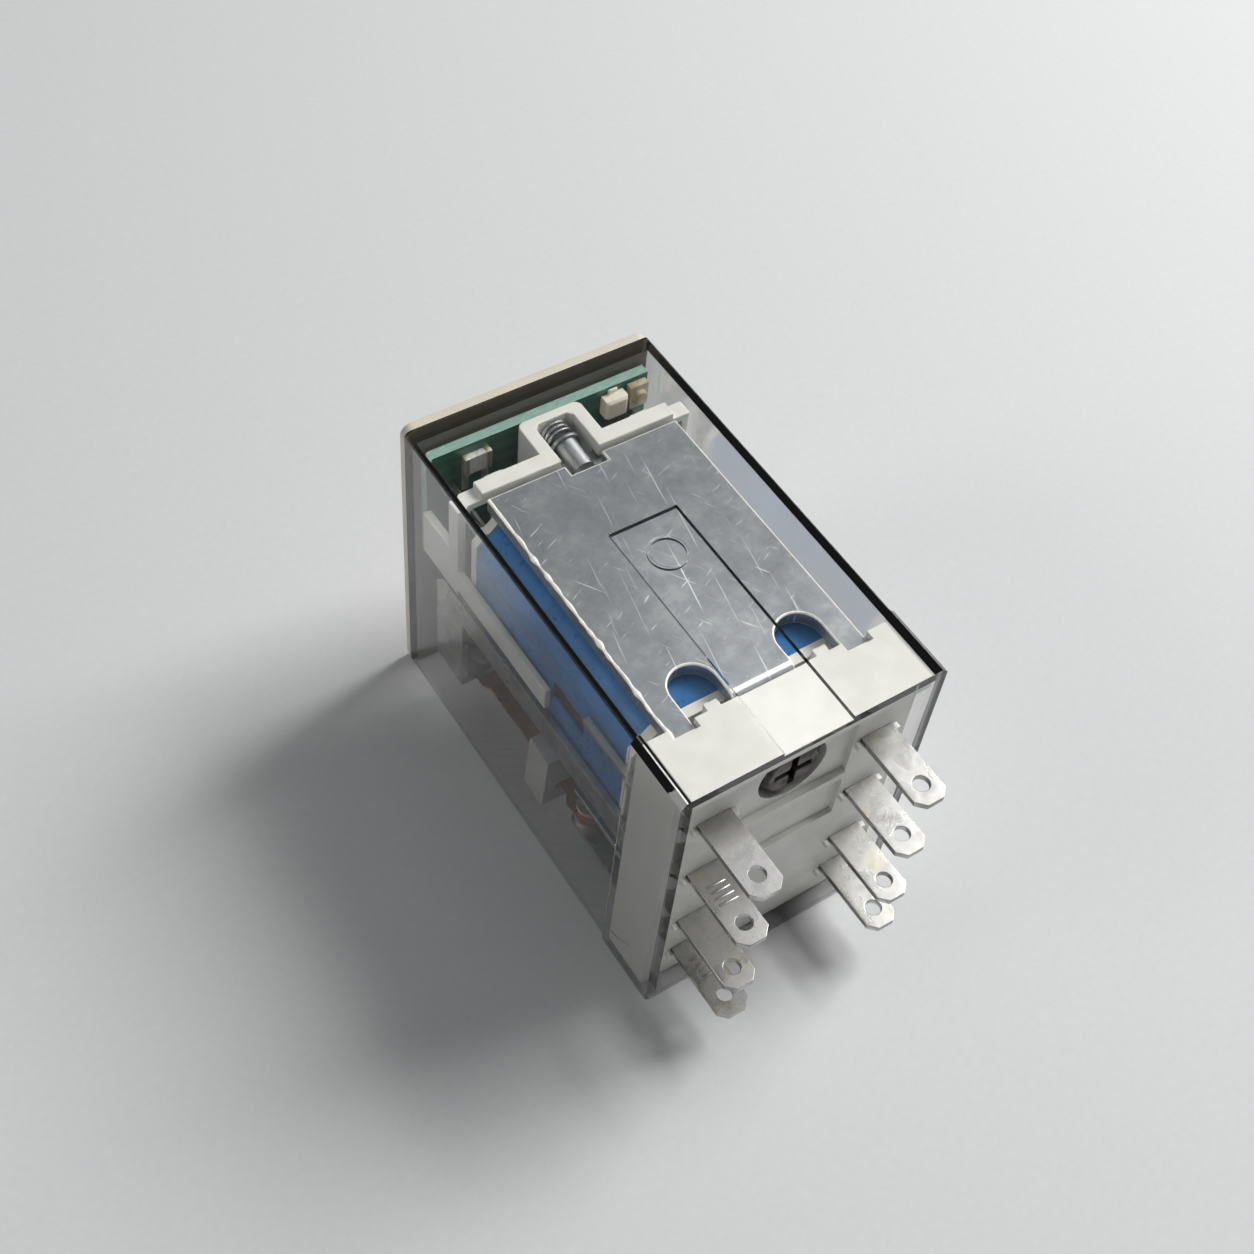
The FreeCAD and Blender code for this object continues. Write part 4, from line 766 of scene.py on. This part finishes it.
def paper_matt():
    """Pale paper with a faint fleck, which fades into one even tone further off."""
    material, shader, place = new_material("paper_matt")
    fleck = add_node(material, "ShaderNodeTexNoise", {"Vector": place, "Scale": per_mm(0.6), "Detail": 3.0})
    fill(shader, {
        "Base Color": add_node(material, "ShaderNodeValToRGB", {"Fac": fleck}, [
            (0.3, "dfe0e0"), (0.7, "e2e3e3")]),
        "Roughness": 0.8})
    straight, mirrored = seen_rays(material)
    seen = add_node(material, "ShaderNodeMath", {0: straight, 1: mirrored}, operation="MAXIMUM")
    far_off = add_node(material, "ShaderNodeVectorMath", {0: place}, operation="LENGTH")
    fade = add_node(material, "ShaderNodeMapRange", {
        "Value": far_off.outputs["Value"], "From Min": FADE_FROM, "From Max": FADE_TO},
        interpolation_type="SMOOTHSTEP")
    share = add_node(material, "ShaderNodeMath", {0: fade, 1: seen}, operation="MULTIPLY")
    glow = add_node(material, "ShaderNodeEmission", {"Color": PALE, "Strength": 1.0})
    fill(material.node_tree.get_output_node("ALL"), {
        "Surface": add_node(material, "ShaderNodeMixShader", {"Fac": share, 1: shader, 2: glow})})
    return material


floor_shape = bmesh.new()
bmesh.ops.create_grid(floor_shape, x_segments=1, y_segments=1, size=FLOOR_HALF)
floor_mesh = bpy.data.meshes.new("floor")
floor_shape.to_mesh(floor_mesh)
floor_shape.free()
floor_mesh.materials.append(paper_matt())
floor = bpy.data.objects.new("floor", floor_mesh)
bpy.context.scene.collection.objects.link(floor)
print("floor across in metres", round(floor.dimensions.x, 2))

# %% [markdown]
# The world sheds a weak even light. In mirrors and glass it is bright round the zenith, like a soft
# panel overhead, and dimmer lower down. That keeps the clear cover clear and gives the metals their
# contrast. A real panel would be another lamp with another shadow, and this one casts none. Where
# the camera looks past the floor it sees nearly the floor's own pale tone.

# %% World
WORLD_LIGHT = 0.11
LOW_SEEN = 0.17
HIGH_SEEN = 1.0
# How far up a ray points where the panel starts and where it is full: 0 is level, 1 is straight up.
PANEL_FROM = 0.76
PANEL_FULL = 0.99
world = bpy.data.worlds.new("studio")
bpy.context.scene.world = world
world.use_nodes = True
world_straight, world_mirrored = seen_rays(world)
sky = add_node(world, "ShaderNodeTexCoord")
height = add_node(world, "ShaderNodeSeparateXYZ", {"Vector": sky.outputs["Generated"]})
panel = add_node(world, "ShaderNodeMapRange", {
    "Value": height.outputs["Z"], "From Min": PANEL_FROM, "From Max": PANEL_FULL,
    "To Min": LOW_SEEN, "To Max": HIGH_SEEN}, interpolation_type="SMOOTHSTEP")
mirror_strength = add_node(world, "ShaderNodeMapRange", {
    "Value": world_mirrored, "To Min": WORLD_LIGHT, "To Max": panel})
strength = add_node(world, "ShaderNodeMapRange", {
    "Value": world_straight, "To Min": mirror_strength, "To Max": PALE[0]})
fill(world.node_tree.nodes["Background"], {"Color": linear("f9fbff"), "Strength": strength})
print("world light", WORLD_LIGHT, "panel from degrees up", round(math.degrees(math.asin(PANEL_FROM))))

# %% [markdown]
# One broad lamp stands high on the right. A weaker one stands lower on the left, where the worn left
# edges mirror it and draw thin bright lines. A lamp far larger than the relay gives soft shadows, as
# both of these do, and neither stands where the flat top would mirror it into the camera.

# %% Lamps
LAMPS_AIM_AT = Vector((0, 0, 0.013))


def area_lamp(name, place, size, power):
    """A square lamp in metres and watts, aimed at the middle of the relay."""
    data = bpy.data.lights.new(name, "AREA")
    data.size = size
    data.energy = power
    lamp = bpy.data.objects.new(name, data)
    # The cover's shader lets lamplight through to what is inside, so its glass needn't show the lamp.
    lamp.visible_transmission = False
    aim = LAMPS_AIM_AT - Vector(place)
    lamp.matrix_world = Matrix.Translation(place) @ aim.to_track_quat("-Z", "Y").to_matrix().to_4x4()
    bpy.context.scene.collection.objects.link(lamp)
    print(name, "stands off in metres", round(aim.length, 2))


area_lamp("key_lamp", place=(0.40, 0.0, 0.41), size=0.26, power=3.25)
area_lamp("rim_lamp", place=(-0.45, 0.12, 0.25), size=0.14, power=0.36)

# %% [markdown]
# The camera stands where the photograph was taken from. It could be placed by eye, but its place,
# its two angles and its roll were worked out from the relay's own straight edges and the known
# spacing of its blades, so the forms fall where they do in the photograph.

# %% Camera
CAMERA_PLACE = Vector((-49.755, -56.514, 117.455)) * MM
CAMERA_AZIMUTH = math.radians(-38.84)
CAMERA_ELEVATION = math.radians(52.40)
CAMERA_ROLL = math.radians(7.34)
forward = Vector((-math.sin(CAMERA_AZIMUTH) * math.cos(CAMERA_ELEVATION),
                  math.cos(CAMERA_AZIMUTH) * math.cos(CAMERA_ELEVATION), -math.sin(CAMERA_ELEVATION)))
level_right = forward.cross(UP).normalized()
level_up = level_right.cross(forward)
right = level_right * math.cos(CAMERA_ROLL) + level_up * math.sin(CAMERA_ROLL)
camera_turn = Matrix((right, right.cross(forward), -forward)).transposed().to_4x4()
print("camera looks along", [round(v, 3) for v in forward])

# %% [markdown]
# The lens was worked out together with the camera's place, for Blender's usual sensor of 36 mm. The
# relay is only some 12 cm away, so the camera's near limit is set closer than the default of 0.1
# metres. The Standard view adds no film look to the colours.

# %% Lens and view
CAMERA_LENS = 51.11
SENSOR_WIDTH = 36
NEAR_LIMIT = 0.01
camera_data = bpy.data.cameras.new("camera")
camera_data.lens = CAMERA_LENS
camera_data.sensor_width = SENSOR_WIDTH
camera_data.clip_start = NEAR_LIMIT
camera = bpy.data.objects.new("camera", camera_data)
camera.matrix_world = Matrix.Translation(CAMERA_PLACE) @ camera_turn
bpy.context.scene.collection.objects.link(camera)
bpy.context.scene.camera = camera
bpy.context.scene.view_settings.view_transform = "Standard"
print("angle of view in degrees", round(math.degrees(camera_data.angle), 1))
